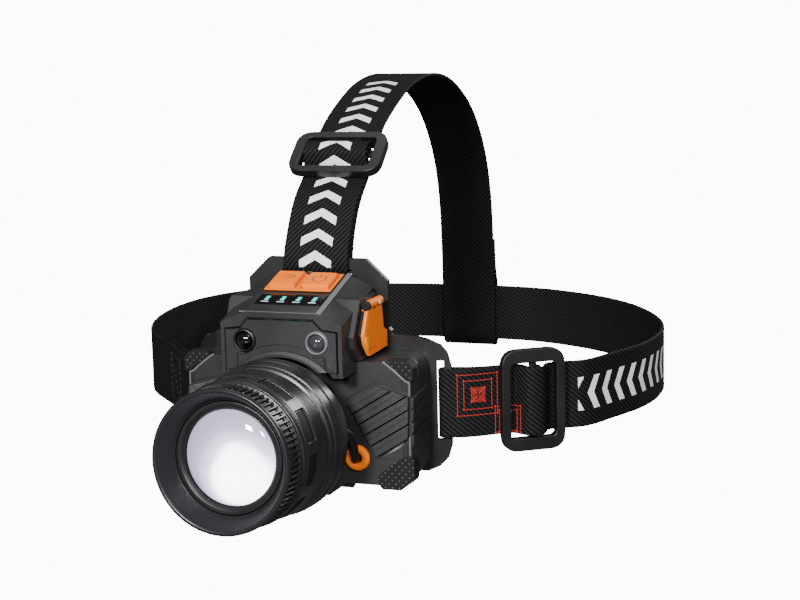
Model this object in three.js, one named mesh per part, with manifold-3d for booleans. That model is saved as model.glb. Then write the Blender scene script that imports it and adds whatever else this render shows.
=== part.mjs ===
// Zoom headlamp on a three-strap head harness, as an assembly of separate solids.
// Millimetres, +Z up. The lamp looks along -Y. The origin is the centre of the flat rear face
// of the forehead pad, the face that lies on the wearer's forehead.
import * as THREE from 'three';
import { mergeVertices } from 'three/addons/utils/BufferGeometryUtils.js';
import Module from 'manifold-3d';

const wasm = await Module();
wasm.setup();

// ---------------------------------------------------------------- driving dimensions
const GAP = 0.3;                       // running gap left between touching pieces
const WEB_WIDTH = 25;                  // strap webbing, width and thickness
const WEB_THICK = 1.4;

const PAD_HALF_X = 34;                 // forehead pad
const PAD_HALF_Z = 22;
const PAD_THICK = 5.2;

const PLATE_BACK = -5.5;               // back plate: rear and front faces
const PLATE_FRONT = -8;
const FOLD_X = 41;                     // the ears bend back from here
const EAR_ANGLE = THREE.MathUtils.degToRad(13);
const EAR_END = 8.9;                   // ear length past the fold
const SLOT_NEAR = 3.6;                 // ear slot, from the fold
const SLOT_FAR = 6.2;
const SLOT_HALF = 13.4;                // half length of every webbing slot
const EAR_SLOT_TOP = 15.4;             // the ear slots reach this high
const TOP_SLOT_LOW = 44.8;             // slot of the top ear
const TOP_SLOT_HIGH = 47.4;
const TOP_EAR_Z = 51.5;

const TILT_Y = -13;                    // tilt hinge axis, along X
const TILT_Z = -28.9;
const KNUCKLE_R = 3;
const TILT_PIN_R = 1.5;
const KNUCKLE_X = [7.7, 8.1, 13.8];    // middle knuckle end, outer knuckle start and end

const HOUSING_BACK = -8.4;             // battery housing, rear face to front face
const HOUSING_SEAM = -18.7;
const WING_FRONT = -29.6;
const WING_HALF = 42.4;
const WING_TOP = 18.7;
const WING_BOTTOM = -25.5;
const REAR_WALL = 1.2;
const FRONT_WALL = 1.4;
const SIDE_WALL = 1.6;
const CHIN_HALF = 16;
const CHIN_FLAT = 11;
const CHIN_Z = -30.5;
const CHIN_BACK = -19.5;
const SEAM_GAP = 0.5;                  // each shell stops this far from the seal's middle

const FACE_Y = -43;                    // hood: face plane, rear end, half width
const HOOD_BACK = -11.7;
const HOOD_HALF = 22.7;
const HOOD_BOTTOM = 15.2;
const HOOD_SEAT = WING_TOP + GAP;
const HOOD_FRONT_TOP = 37.3;
const HOOD_BACK_TOP = 46.5;
const HOOD_WALL = 1.8;
const POD_HALF = 24.5;                 // wider rear part of the hood, behind the side covers
const SLOPE = Math.atan2(HOOD_BACK_TOP - HOOD_FRONT_TOP, HOOD_BACK - FACE_Y);

const ARCH_R = 25;                     // arch of the hood over the light head
const ARCH_Z = -0.9;
const HEAD_TILT = THREE.MathUtils.degToRad(-2.5);  // the light head points this much upwards
const HEAD_Z = -6.61;                  // height of its axis over the origin
// Radii and places along the light head's own axis:
const RING_REAR = -50.9;               // rear edge of the widest ring
const NECK_R = 18.6;
const BARREL_FRONT = -83.5;
const BEZEL_FRONT = -95.7;
const RIM_REAR = -93.7;
const GRIP_REAR = -84.6;
const GRIP_FRONT = -93.4;
const GRIP_R = 24.4;
const SLEEVE_REAR = -70;               // end of the grip's sleeve inside the barrel
const FLANGE = [-87.2, -86.3];         // flange of the lens carrier
const LENS_R = 16.3;
const LENS_EDGE = -85.3;
const LENS_BULGE = 5;

const SENSOR_X = 13.5;                 // sensor and signal light on the face
const SENSOR_Z = 27.3;
const GROMMET_X = 22.3;                // cable grommet on the wing
const GROMMET_Z = -15.7;
const CABLE_R = 1.5;

const CELL_R = 9;                      // two 18650 cells lying along X
const CELL_HALF = 32.5;
const CELL_Y = -18.9;
const CELL_Z = [7.7, -14.2];
const SCREW_SPOTS = [[-37.4, 12.4], [37.4, 12.4], [-37.4, -18.6], [37.4, -18.6]];
const BOSS_R = 2.8;
const SCREW_R = 1;
const SCREW_HEAD_R = 2.1;

const PIVOT_X = 26.4;                  // port cover hinge, along Y
const PIVOT_Z = 38.2;
const PIVOT_R = 1.6;
const COVER_PIN_R = 0.8;
const COVER_KNUCKLES = [[-28.8, -23.9], [-20.1, -15.1]];
const COVER_LUG = [-23.6, -20.4];      // the hood's lug between them

// ---------------------------------------------------------------- materials
const finish = (color, roughness, metalness) =>
  new THREE.MeshStandardMaterial({ color, roughness, metalness });
const ABS = finish('#2e2f31', 0.55, 0);
const ABS_DARK = finish('#1b1c1e', 0.6, 0);
const ANODISED = finish('#141416', 0.35, 0.85);
const ORANGE = finish('#f58a1f', 0.45, 0);
const RUBBER = finish('#0f0f10', 0.85, 0);
const WEBBING = finish('#161617', 0.9, 0);
const FOAM = finish('#222224', 0.95, 0);
const STEEL = finish('#8d9096', 0.35, 0.9);
const CLEAR = finish('#dfe4ee', 0.05, 0);
const BOARD = finish('#14532d', 0.5, 0);
const WRAP = finish('#2f6fb0', 0.4, 0);
const CYAN = finish('#2ac4b8', 0.3, 0);
const YELLOW = finish('#f1d65a', 0.3, 0);

// ---------------------------------------------------------------- solids
const lamp = new THREE.Group();
const slope = new THREE.Group();       // frame of the hood's sloping top: x, s along it, n up
slope.position.set(0, FACE_Y, HOOD_FRONT_TOP);
slope.rotation.x = SLOPE;
slope.updateMatrixWorld(true);
const head = new THREE.Group();        // frame of the light head: its axis is local Y
head.position.set(0, 0, HEAD_Z);
head.rotation.x = HEAD_TILT;
head.updateMatrixWorld(true);

function toSolid(geometry) {
  const bare = geometry.clone();
  bare.deleteAttribute('normal');
  bare.deleteAttribute('uv');
  const merged = mergeVertices(bare, 1e-5);
  const made = new wasm.Manifold(new wasm.Mesh({
    numProp: 3,
    vertProperties: Float32Array.from(merged.attributes.position.array),
    triVerts: Uint32Array.from(merged.index.array),
  }));
  return made;
}

function toGeometry(solid) {
  const mesh = solid.getMesh();
  const geometry = new THREE.BufferGeometry();
  geometry.setAttribute('position', new THREE.BufferAttribute(Float32Array.from(mesh.vertProperties), 3));
  geometry.setIndex(Array.from(mesh.triVerts));
  geometry.computeVertexNormals();
  return geometry;
}

function add(name, solid, material, parent = lamp) {
  const mesh = new THREE.Mesh(toGeometry(solid), material);
  mesh.name = name;
  parent.add(mesh);
}

const join = (...solids) => solids.reduce((whole, one) => whole.add(one));
const cut = (base, ...tools) => tools.reduce((whole, tool) => whole.subtract(tool), base);

function box([x0, x1], [y0, y1], [z0, z1]) {
  const geometry = new THREE.BoxGeometry(x1 - x0, y1 - y0, z1 - z0);
  return toSolid(geometry.translate((x0 + x1) / 2, (y0 + y1) / 2, (z0 + z1) / 2));
}

// An outline of [a, b] points, extruded: 'x' takes (Y, Z), 'y' takes (X, Z), 'z' takes (X, Y).
function prism(axis, outline, [low, high]) {
  const shape = new THREE.Shape(outline.map(([a, b]) => new THREE.Vector2(a, b)));
  const geometry = new THREE.ExtrudeGeometry(shape, { depth: high - low, bevelEnabled: false });
  geometry.translate(0, 0, low);
  if (axis === 'x') geometry.applyMatrix4(new THREE.Matrix4().set(0, 0, 1, 0, 1, 0, 0, 0, 0, 1, 0, 0, 0, 0, 0, 1));
  if (axis === 'y') geometry.applyMatrix4(new THREE.Matrix4().makeRotationX(Math.PI / 2)).translate(0, low + high, 0);
  return toSolid(geometry);
}

function rod(axis, radius, [low, high], [a, b], sides = 20) {
  const geometry = new THREE.CylinderGeometry(radius, radius, high - low, sides);
  const middle = (low + high) / 2;
  if (axis === 'y') geometry.translate(a, middle, b);
  if (axis === 'x') geometry.rotateZ(Math.PI / 2).translate(middle, a, b);
  if (axis === 'z') geometry.rotateX(Math.PI / 2).translate(a, b, middle);
  return toSolid(geometry);
}

// A closed profile of [radius, y] points turned about the Y direction through (x, z).
function turned(profile, x, z, sides) {
  const loop = profile.concat([profile[0]]).map(([r, y]) => new THREE.Vector2(r, y));
  const area = THREE.ShapeUtils.area(loop.slice(0, -1));
  if (area < 0) loop.reverse();
  return toSolid(new THREE.LatheGeometry(loop, sides).translate(x, 0, z));
}

const mirrored = (outline) => outline.map(([a, b]) => [-a, b]).reverse();
const placedIn = (frame, solid) => toSolid(toGeometry(solid).applyMatrix4(frame.matrixWorld));
const outOf = (frame, solid) => toSolid(toGeometry(solid).applyMatrix4(frame.matrixWorld.clone().invert()));

// A ribbon whose middle line follows the points, as an outline ready for prism().
function ribbon(points, thickness, steps) {
  const curve = new THREE.CatmullRomCurve3(points.map(([a, b]) => new THREE.Vector3(a, b, 0)), false, 'centripetal');
  const left = [];
  const right = [];
  for (let i = 0; i <= steps; i += 1) {
    const at = curve.getPoint(i / steps);
    const along = curve.getTangent(i / steps);
    const side = new THREE.Vector2(-along.y, along.x).multiplyScalar(thickness / 2);
    left.push([at.x + side.x, at.y + side.y]);
    right.unshift([at.x - side.x, at.y - side.y]);
  }
  return left.concat(right);
}

// ---------------------------------------------------------------- straps and sliders
// Places of the two sliders in their strap's own plane, with the direction along the strap.
const BAND_SLIDER = { at: [76, 6.8], turn: 0.62, side: -1, half: 12, bar: 3.5, wide: 19 };
const TOP_SLIDER = { at: [16.5, 86.8], turn: 0.7, side: 1, half: 10.5, bar: 3, wide: 18.5 };
const CENTRE_BAR = 1.25;

// Turns (along, out) at a slider into the strap's plane.
function atSlider(slider, [along, out]) {
  const [a, b] = slider.at;
  const cos = Math.cos(slider.turn);
  const sin = Math.sin(slider.turn);
  const up = out * slider.side;
  return [a + along * cos - up * sin, b + along * sin + up * cos];
}

// The webbing that runs under the near bar, over the centre bar and under the far bar.
const RUNNING = [[-12.4, -2.8], [-9, -2.95], [-6.1, -2.1], [-4.2, 1.3], [-2.3, 3.6], [0, 4.1], [2.3, 3.6], [4.2, 1.3],
  [6.1, -2.1], [9, -2.95], [12.4, -2.8]];
// The end that is sewn round the centre bar, from the ear side.
const SEWN = [[-12.4, -4.9], [-9, -5.05], [-5, -4.6], [-2.9, -2.6], [-2.45, 0], [-1.75, 1.75], [0, 2.1], [1.75, 1.75],
  [2.45, 0.2], [1.9, -1.75], [0.6, -2.1]];

function sliderFrame(slider) {
  const { half, bar, wide } = slider;
  const thick = 1.75;
  const outline = (h, w, corner) => [[-h, -w + corner], [-h + corner, -w], [h - corner, -w], [h, -w + corner],
    [h, w - corner], [h - corner, w], [-h + corner, w], [-h, w - corner]];
  const frame = prism('y', outline(half, wide, 4), [-thick, thick]);
  const inner = half - bar;
  const window = prism('y', outline(inner, WEB_WIDTH / 2 + 1.2, 1.2), [-thick - 1, thick + 1]);
  const centre = box([-CENTRE_BAR, CENTRE_BAR], [-1, 1], [-WEB_WIDTH / 2 - 2, WEB_WIDTH / 2 + 2]);
  return toGeometry(join(cut(frame, window), centre));
}

// Right ear: (along, behind the front face) from the fold line.
function atEar([along, behind]) {
  const cos = Math.cos(EAR_ANGLE);
  const sin = Math.sin(EAR_ANGLE);
  return [FOLD_X + along * cos - behind * sin, PLATE_FRONT + along * sin + behind * cos];
}

function headband() {
  const front = [[13, -0.9], [9.4, -1.1], [6.5, -1.25], [4.95, -0.5], [4.65, 1.25], [4.95, 3], [6.5, 3.7], [9.8, 3.7]];
  const rightEar = front.map(atEar);
  const leftEar = front.map(atEar).map(([x, y]) => [-x, y]).reverse();
  const leftEnd = [[-77, 24.5], [-69, 16], [-61, 5.2], [-55.5, 0.4]];
  const leftSide = [[-57.6, -1.4], [-64, 5.6], [-71.2, 15], [-79.2, 23.6], [-91, 37], [-100.4, 55], [-106.6, 75],
    [-109.6, 98], [-107.5, 120], [-99, 139], [-84, 155], [-60, 168], [-31, 175]];
  const back = [[0, 177]];
  const rightSide = [[31, 174.6], [58, 163], [79, 146], [95, 123], [104.5, 100], [107.6, 78], [105.4, 56], [98.5, 36.5],
    [91.5, 20.8]];
  const slider = RUNNING.map((one) => atSlider(BAND_SLIDER, one)).reverse();
  const rightFront = [[59, -2.5]];
  const rightRear = [[56.7, -0.4]];
  const sewn = SEWN.map((one) => atSlider(BAND_SLIDER, one));
  const route = [...leftEnd, ...leftEar, ...leftSide, ...back, ...rightSide, ...slider, ...rightFront, ...rightEar,
    ...rightRear, ...sewn];
  return prism('z', ribbon(route, WEB_THICK, 140), [-WEB_WIDTH / 2, WEB_WIDTH / 2]);
}

function topStrap() {
  const sewn = SEWN.map((one) => atSlider(TOP_SLIDER, one)).reverse();
  const rear = [[3.6, 68.6], [-1.6, 59.5], [-3.9, 52.5], [-4.25, 48.7], [-4.8, 46.6]];
  const front = [[-6.75, 45.9], [-8.7, 46.6], [-9.25, 48.7], [-8.7, 53], [-4.6, 61.5], [1.6, 70.6]];
  const slider = RUNNING.map((one) => atSlider(TOP_SLIDER, one));
  const arch = [[34, 96.9], [49, 104], [67, 110], [89, 112.6], [110, 110.6], [130, 103.6], [146, 94], [158, 82],
    [166, 69], [171, 53], [173, 36], [173.8, 14]];
  const loop = [[174, 0], [174.2, -12.2], [176.6, -14.6], [179, -12.2], [179, 0], [178.9, 13.6], [176.4, 22], [175.6, 34]];
  return prism('x', ribbon([...sewn, ...rear, ...front, ...slider, ...arch, ...loop], WEB_THICK, 120),
    [-WEB_WIDTH / 2, WEB_WIDTH / 2]);
}

function addSlider(name, slider, rotate) {
  const mesh = new THREE.Mesh(sliderFrame(slider), ABS_DARK);
  mesh.name = name;
  rotate(mesh);
  lamp.add(mesh);
}

// ---------------------------------------------------------------- bracket
function backPlate() {
  const end = FOLD_X + EAR_END;
  const half = [[0, -25.1], [FOLD_X, -25.1], [end - 4.4, -23.2], [end - 1.3, -19.8], [end, -15.5], [end, 13.2],
    [end - 1.3, 18], [end - 4.3, 21.9], [FOLD_X, 24.1], [36, 24.9], [28.4, 25.4], [27, 26.8], [27, 43.8],
    [18.8, TOP_EAR_Z], [0, TOP_EAR_Z]];
  const outline = half.concat(mirrored(half).slice(1, -1));
  const flat = prism('y', outline, [PLATE_FRONT, PLATE_BACK]);
  const topSlot = box([-SLOT_HALF, SLOT_HALF], [PLATE_FRONT - 1, PLATE_BACK + 1], [TOP_SLOT_LOW, TOP_SLOT_HIGH]);
  const ears = [-1, 1].map((side) => {
    const ear = flat.intersect(box(side > 0 ? [FOLD_X, 60] : [-60, -FOLD_X], [-20, 0], [-40, 60]));
    const slot = side > 0 ? [FOLD_X + SLOT_NEAR, FOLD_X + SLOT_FAR] : [-FOLD_X - SLOT_FAR, -FOLD_X - SLOT_NEAR];
    const open = cut(ear, box(slot, [-20, 0], [-SLOT_HALF, EAR_SLOT_TOP]));
    const bent = toGeometry(open).translate(-side * FOLD_X, -PLATE_FRONT, 0).rotateZ(side * EAR_ANGLE);
    return toSolid(bent.translate(side * FOLD_X, PLATE_FRONT, 0));
  });
  const middle = flat.intersect(box([-FOLD_X, FOLD_X], [-20, 0], [-40, 60]));
  const [reach] = KNUCKLE_X;
  const arm = prism('x', [[PLATE_BACK, -24], [PLATE_BACK, -30], [TILT_Y, TILT_Z - KNUCKLE_R], [TILT_Y, TILT_Z],
    [PLATE_FRONT, -27.4], [PLATE_FRONT, -24]], [-reach, reach]);
  const knuckle = rod('x', KNUCKLE_R, [-reach, reach], [TILT_Y, TILT_Z], 24);
  const bore = rod('x', TILT_PIN_R + GAP, [-reach - 1, reach + 1], [TILT_Y, TILT_Z], 16);
  return cut(join(middle, ...ears, arm, knuckle), topSlot, bore);
}

function foreheadPad() {
  const c = 8;
  const [x, z] = [PAD_HALF_X, PAD_HALF_Z];
  const outline = [[-x + c, -z], [x - c, -z], [x, -z + c], [x, z - c], [x - c, z], [-x + c, z], [-x, z - c], [-x, -z + c]];
  return prism('y', outline, [-PAD_THICK, 0]);
}

// ---------------------------------------------------------------- battery housing
function wingOutline(grow, chin) {
  const x = WING_HALF + grow;
  const top = WING_TOP + grow;
  const low = WING_BOTTOM - grow;
  const half = [[0, low], [38 + grow / 2, low], [x, low + 5], [x, 13.2 + grow / 2], [36 + grow / 2, top], [0, top]];
  if (chin) half.splice(0, 1, [0, CHIN_Z], [CHIN_FLAT, CHIN_Z], [CHIN_HALF, low - 0.6], [CHIN_HALF, low]);
  return half.concat(mirrored(half).slice(1, -1));
}

function bosses([low, high], radius) {
  return SCREW_SPOTS.map((spot) => rod('y', radius, [low, high], spot, 12));
}

function rearHousing() {
  const shell = prism('y', wingOutline(0, false), [HOUSING_SEAM + SEAM_GAP, HOUSING_BACK]);
  const hollow = prism('y', wingOutline(-SIDE_WALL, false), [HOUSING_SEAM, HOUSING_BACK - REAR_WALL]);
  const posts = bosses([HOUSING_SEAM + 2.4, HOUSING_BACK - 0.5], BOSS_R);
  const holes = bosses([HOUSING_SEAM, HOUSING_BACK + 1], SCREW_R + GAP);
  const heads = bosses([HOUSING_BACK - 2, HOUSING_BACK + 1], SCREW_HEAD_R + GAP);
  const [, start, end] = KNUCKLE_X;
  const knuckles = [[start, end], [-end, -start]].flatMap((span) => [
    rod('x', KNUCKLE_R, span, [TILT_Y, TILT_Z], 28),
    box(span, [TILT_Y - KNUCKLE_R, TILT_Y + KNUCKLE_R], [TILT_Z, WING_BOTTOM + 0.5]),
  ]);
  const bore = rod('x', TILT_PIN_R + GAP, [-end - 1, end + 1], [TILT_Y, TILT_Z], 16);
  return cut(join(cut(shell, hollow), ...posts, ...knuckles), bore, ...holes, ...heads);
}

function frontCover() {
  const shell = prism('y', wingOutline(0, false), [WING_FRONT, HOUSING_SEAM - SEAM_GAP]);
  const chin = prism('y', wingOutline(0, true), [WING_FRONT, CHIN_BACK]).intersect(
    box([-CHIN_HALF, CHIN_HALF], [-40, 0], [-40, 0]));
  const hollow = prism('y', wingOutline(-SIDE_WALL, false), [WING_FRONT + FRONT_WALL, HOUSING_SEAM + 1]);
  const posts = bosses([WING_FRONT + 0.5, HOUSING_SEAM - 2], BOSS_R);
  const holes = bosses([WING_FRONT + 3, 0], SCREW_R + GAP);
  const wireWay = rod('y', 3.4, [WING_FRONT - 1, WING_FRONT + 3], [GROMMET_X, GROMMET_Z], 20);
  const hoodWay = box([-17, 17], [HOOD_FLOOR[0], HOOD_FLOOR[1]], [10, WING_TOP + 1]);
  return cut(join(cut(join(shell, chin), hollow), ...posts), wireWay, hoodWay, ...holes);
}
const HOOD_FLOOR = [-27.6, -19.6];     // wiring opening between the cover's top and the hood

function housingSeal() {
  const outer = prism('y', wingOutline(-0.2, false), [HOUSING_SEAM - 0.2, HOUSING_SEAM + 0.2]);
  return cut(outer, prism('y', wingOutline(-SIDE_WALL + 0.2, false), [HOUSING_SEAM - 1, HOUSING_SEAM + 1]));
}

// Bumper caps that wrap the corners of the front cover.
function cornerPad(side, level) {
  const lower = [[29.5, -21.4], [39.8, -14.5], [43.6, -15.2], [43.7, -22.6], [38.4, -26.5], [31, -26.5]];
  const upper = [[35.2, 20.2], [33.6, 19.05], [36.2, 17.2], [41, 13.2], [43.4, 12.6], [43.6, 17.2], [41.6, 19.8]];
  const outline = level === 'lower' ? lower : upper;
  const span = level === 'lower' ? [-30.8, -25.8] : [-30.4, -25.8];
  const block = prism('y', side > 0 ? outline : mirrored(outline), span);
  return cut(block, prism('y', wingOutline(GAP, false), [WING_FRONT - GAP, 0]));
}

function screw([x, z]) {
  const head = rod('y', SCREW_HEAD_R, [HOUSING_BACK - 1.7, HOUSING_BACK - 0.1], [x, z], 14);
  const shank = rod('y', SCREW_R, [WING_FRONT + 4, HOUSING_BACK - 1], [x, z], 8);
  const cross = [0.3, 1.3];
  const slots = [cross, [cross[1], cross[0]]].map(([w, h]) =>
    box([x - w, x + w], [HOUSING_BACK - 0.9, HOUSING_BACK + 1], [z - h, z + h]));
  return cut(join(head, shank), ...slots);
}

function cell(z) {
  const can = rod('x', CELL_R, [-CELL_HALF, CELL_HALF - 1], [CELL_Y, z], 28);
  return join(can, rod('x', 3, [CELL_HALF - 2, CELL_HALF], [CELL_Y, z], 16));
}

function contact(side) {
  const x = side > 0 ? [CELL_HALF + GAP, CELL_HALF + 0.9] : [-CELL_HALF - 0.9, -CELL_HALF - GAP];
  return box(x, [-24, -14], [-20, 13]);
}

// ---------------------------------------------------------------- hood and face
// A solid between two outlines of equal length, at two places along Y.
function loft(front, yFront, back, yBack) {
  const points = [...front.map(([x, z]) => [x, yFront, z]), ...back.map(([x, z]) => [x, yBack, z])];
  const n = front.length;
  const faces = [];
  for (let i = 0; i < n; i += 1) {
    const j = (i + 1) % n;
    faces.push(i, n + i, j, j, n + i, n + j);
  }
  for (let i = 1; i < n - 1; i += 1) faces.push(0, i, i + 1, n, n + i + 1, n + i);
  const geometry = new THREE.BufferGeometry();
  geometry.setAttribute('position', new THREE.BufferAttribute(new Float32Array(points.flat()), 3));
  geometry.setIndex(faces);
  return toSolid(geometry);
}

function hoodBlock(inset, yFront, yBack, low) {
  const half = HOOD_HALF - inset;
  const section = (shoulder, top, flat) => [[-half, low], [half, low], [half, shoulder - inset],
    [flat, top - inset * 1.1], [-flat, top - inset * 1.1], [-half, shoulder - inset]];
  return loft(section(33.4, HOOD_FRONT_TOP, 13.2), yFront, section(42, HOOD_BACK_TOP, 13.7), yBack);
}

const POD_OUTLINE = [[-12.1, 40.2], [-29.4, 40.4], [-36.8, 28.4], [-35.8, 24.2], [-30.8, HOOD_SEAT], [-12.1, HOOD_SEAT]];
const BUTTON_WAY = [17.6, 29.8];       // opening under the buttons, along the slope
const WINDOW_WAY = [6.4, 14.6];        // opening for the charge indicator, along the slope

function lampHood() {
  const pod = prism('x', POD_OUTLINE, [-POD_HALF, POD_HALF]);
  const outer = join(hoodBlock(0, FACE_Y, HOOD_BACK, HOOD_BOTTOM), pod);
  const seat = box([-60, 60], [WING_FRONT - GAP, 0], [0, HOOD_SEAT]);
  const hollow = hoodBlock(HOOD_WALL, FACE_Y + HOOD_WALL, HOOD_BACK - HOOD_WALL, 10);
  const arch = rod('y', ARCH_R, [FACE_Y - 1, 0], [0, ARCH_Z], 40);
  const panel = prism('y', facePanel(GAP), [FACE_Y - 1, FACE_Y + 2.5]);
  const ways = placedIn(slope, join(box([-11.9, 11.9], BUTTON_WAY, [-2.6, 3]), box([-12.6, 12.6], WINDOW_WAY, [-2.6, 3])));
  const port = box([POD_HALF - 6, POD_HALF + 1], [-27.2, -16.8], [25.2, 30.8]);
  const lug = join(box([POD_HALF - 1, PIVOT_X], COVER_LUG, [PIVOT_Z - PIVOT_R, PIVOT_Z + PIVOT_R]),
    rod('y', PIVOT_R, COVER_LUG, [PIVOT_X, PIVOT_Z], 20));
  const pinWay = rod('y', COVER_PIN_R + GAP, [-29.3, 0], [PIVOT_X, PIVOT_Z], 12);
  return cut(join(cut(outer, hollow), lug), seat, arch, panel, ways, port, pinWay);
}

function facePanel(grow) {
  const g = grow;
  const half = [[0, 17 - g], [20.5 + g, 17 - g], [20.5 + g, 30.8 + g], [15 + g / 2, 31.4 + g], [12 + g / 2, 34.6 + g],
    [0, 34.6 + g]];
  return half.concat(mirrored(half).slice(1, -1));
}

function facePlate() {
  const plate = prism('y', facePanel(0), [FACE_Y - 0.2, FACE_Y + 1.6]);
  const arch = rod('y', ARCH_R, [FACE_Y - 2, 0], [0, ARCH_Z], 40);
  const holes = [-SENSOR_X, SENSOR_X].map((x) => rod('y', 4.3, [FACE_Y - 2, 0], [x, SENSOR_Z], 24));
  return cut(plate, arch, ...holes);
}

const eyeRing = (x) => turned([[3.4, FACE_Y - 1.2], [4, FACE_Y - 0.9], [4, FACE_Y + 3], [3.4, FACE_Y + 3]], x, SENSOR_Z, 20);
const eyeDome = (x) => turned([[0.001, FACE_Y - 2.4], [1.6, FACE_Y - 2.1], [2.7, FACE_Y - 1.2], [3.1, FACE_Y],
  [3.1, FACE_Y + 3.4], [0.001, FACE_Y + 3.4]], x, SENSOR_Z, 16);

// ---------------------------------------------------------------- top controls, in the slope frame
const BUTTONS = { sensor: [-11.2, -1.5], power: [0.9, 11.3] };
const BUTTON_S = [18.2, 29.2];
const BUTTON_TOP = 2.3;

function buttonFrame() {
  const plate = box([-12.7, 12.7], [16.7, 30.7], [GAP, 1.2]);
  const holes = Object.values(BUTTONS).map(([a, b]) =>
    box([a - GAP, b + GAP], [BUTTON_S[0] - GAP, BUTTON_S[1] + GAP], [-1, 4]));
  return cut(plate, ...holes);
}

function button([a, b]) {
  const cap = box([a, b], BUTTON_S, [-0.8, BUTTON_TOP]);
  const middle = [(a + b) / 2, (BUTTON_S[0] + BUTTON_S[1]) / 2];
  return join(cap, rod('z', 1.5, [-3.2, 0], middle, 12));
}

function tactSwitch([a, b]) {
  const x = (a + b) / 2;
  const s = (BUTTON_S[0] + BUTTON_S[1]) / 2;
  return join(box([x - 3, x + 3], [s - 3, s + 3], [-6.6, -5.2]), rod('z', 1.5, [-6, -4.6], [x, s], 12));
}

const LIGHT_X = [-9.2, -3.2, 2.8, 8.6];
function indicatorWindow() {
  const strip = box([-12.3, 12.3], [WINDOW_WAY[0] + GAP, WINDOW_WAY[1] - GAP], [-1.6, 0.15]);
  const holes = LIGHT_X.map((x) => box([x - 0.9, x + 0.9], [9.6, 13], [-3, 1]));
  return cut(strip, ...holes);
}

// ---------------------------------------------------------------- light head, in its own frame
function barrelBase() {
  const groove = (y) => [[26, y + 0.4], [25.5, y + 0.3], [25.5, y - 0.3], [26, y - 0.4]];
  const shell = turned([[0.001, WING_FRONT + 3], [NECK_R, WING_FRONT + 3], [NECK_R, RING_REAR], [27.2, RING_REAR],
    [27.2, -60], ...groove(-66), [25.3, -71], [25.1, BARREL_FRONT], [22.1, BARREL_FRONT], [22.1, -69.5], [20.6, -69.5],
    [20.6, -53.6], [0.001, -53.6]], 0, 0, 40);
  const behind = box([-30, 30], [WING_FRONT - GAP, 0], [-40, 40]);
  const wireWay = rod('y', 2.6, [-60, 0], [0, -12], 16);
  return cut(shell, outOf(head, behind), wireWay);
}

const tube = (outer, inner, [low, high], sides = 32) =>
  turned([[outer, low], [outer, high], [inner, high], [inner, low]], 0, 0, sides);

const lensCarrier = () => turned([[16.7, -71], [17.4, -71], [17.4, FLANGE[1]], [22, FLANGE[1]], [22, FLANGE[0]],
  [16.7, FLANGE[0]]], 0, 0, 32);

function lens() {
  const profile = [[0.001, -82], [LENS_R, -82], [LENS_R, LENS_EDGE]];
  for (let i = 1; i <= 4; i += 1) {
    const angle = (i / 4) * Math.PI / 2;
    profile.push([Math.max(LENS_R * Math.cos(angle), 0.001), LENS_EDGE - LENS_BULGE * Math.sin(angle)]);
  }
  return turned(profile, 0, 0, 28);
}

const lensRing = () => turned([[16.1, -86.6], [16.4, -86.6], [16.4, -87.5], [18.8, -87.5], [18.8, -88.4], [17.2, -88.4],
  [16.1, -87.4]], 0, 0, 32);

const focusGrip = () => turned([[20.4, SLEEVE_REAR], [21.8, SLEEVE_REAR], [21.8, GRIP_REAR], [23.8, GRIP_REAR],
  [GRIP_R, GRIP_REAR - 0.6], [GRIP_R, GRIP_FRONT], [22.6, GRIP_FRONT], [22.6, -86], [20.4, -86]], 0, 0, 40);

const bezel = () => turned([[19.1, -87.6], [22.3, -87.6], [22.3, RIM_REAR], [24, RIM_REAR], [24, -95.2],
  [23.6, BEZEL_FRONT], [22.7, BEZEL_FRONT], [19.1, -88.2]], 0, 0, 40);

const ledEmitter = () => box([-3.5, 3.5], [-57, -55.9], [-3.5, 3.5]);

const ledDome = () => turned([[0.001, -57.3], [2.9, -57.3], [2.5, -58.6], [1.5, -59.6], [0.001, -60]], 0, 0, 16);

function lampCable() {
  const route = [[GROMMET_X, -28.3, GROMMET_Z], [GROMMET_X, -30.8, GROMMET_Z], [22.5, -33, -15.1], [23, -34.9, -12.6],
    [23.3, -37, -8.6], [23.5, -40.5, -5], [23.4, -45, -3], [23.3, RING_REAR + GAP + 0.1, -2.5]];
  const curve = new THREE.CatmullRomCurve3(route.map((p) => new THREE.Vector3(...p)));
  const section = new THREE.Shape();
  section.absarc(0, 0, CABLE_R, 0, Math.PI * 2, false);
  const geometry = new THREE.ExtrudeGeometry(section, { steps: 22, curveSegments: 2, extrudePath: curve });
  return toSolid(geometry);
}

const grommet = () => turned([[1.9, -28.3], [3.1, -28.3], [3.1, -29.9], [5.1, -29.9], [5.3, -30.6], [4.6, -31.6],
  [2.6, -31.8], [1.9, -31.2]], GROMMET_X, GROMMET_Z, 24);

// ---------------------------------------------------------------- port cover
const COVER_OUTLINE = [[-15, 36.2], [-29.2, 36.2], [-33.4, 28.5], [-32.4, 25.1], [-28, 20.5], [-10.4, 20.9],
  [-10.2, 26.5], [-13.6, 28.2]];
function portCover() {
  const plate = prism('x', COVER_OUTLINE, [POD_HALF + 0.4, POD_HALF + 2.7]);
  const knuckles = COVER_KNUCKLES.flatMap((span) => [
    box([POD_HALF + 0.4, POD_HALF + 2.7], span, [35, PIVOT_Z - 0.6]),
    rod('y', PIVOT_R, span, [PIVOT_X, PIVOT_Z], 20),
  ]);
  const bore = rod('y', COVER_PIN_R + GAP, [-40, 0], [PIVOT_X, PIVOT_Z], 16);
  const plug = box([POD_HALF - 0.9, POD_HALF + 1], [-26.2, -17.8], [26, 30]);
  return cut(join(plate, ...knuckles, plug), bore);
}

function sideTrim() {
  const outline = [[-14.8, 39.4], [-28.2, 39.4], ...COVER_OUTLINE.slice(2)];
  return prism('x', outline, [-POD_HALF - 1.4, -POD_HALF - GAP]);
}

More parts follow.
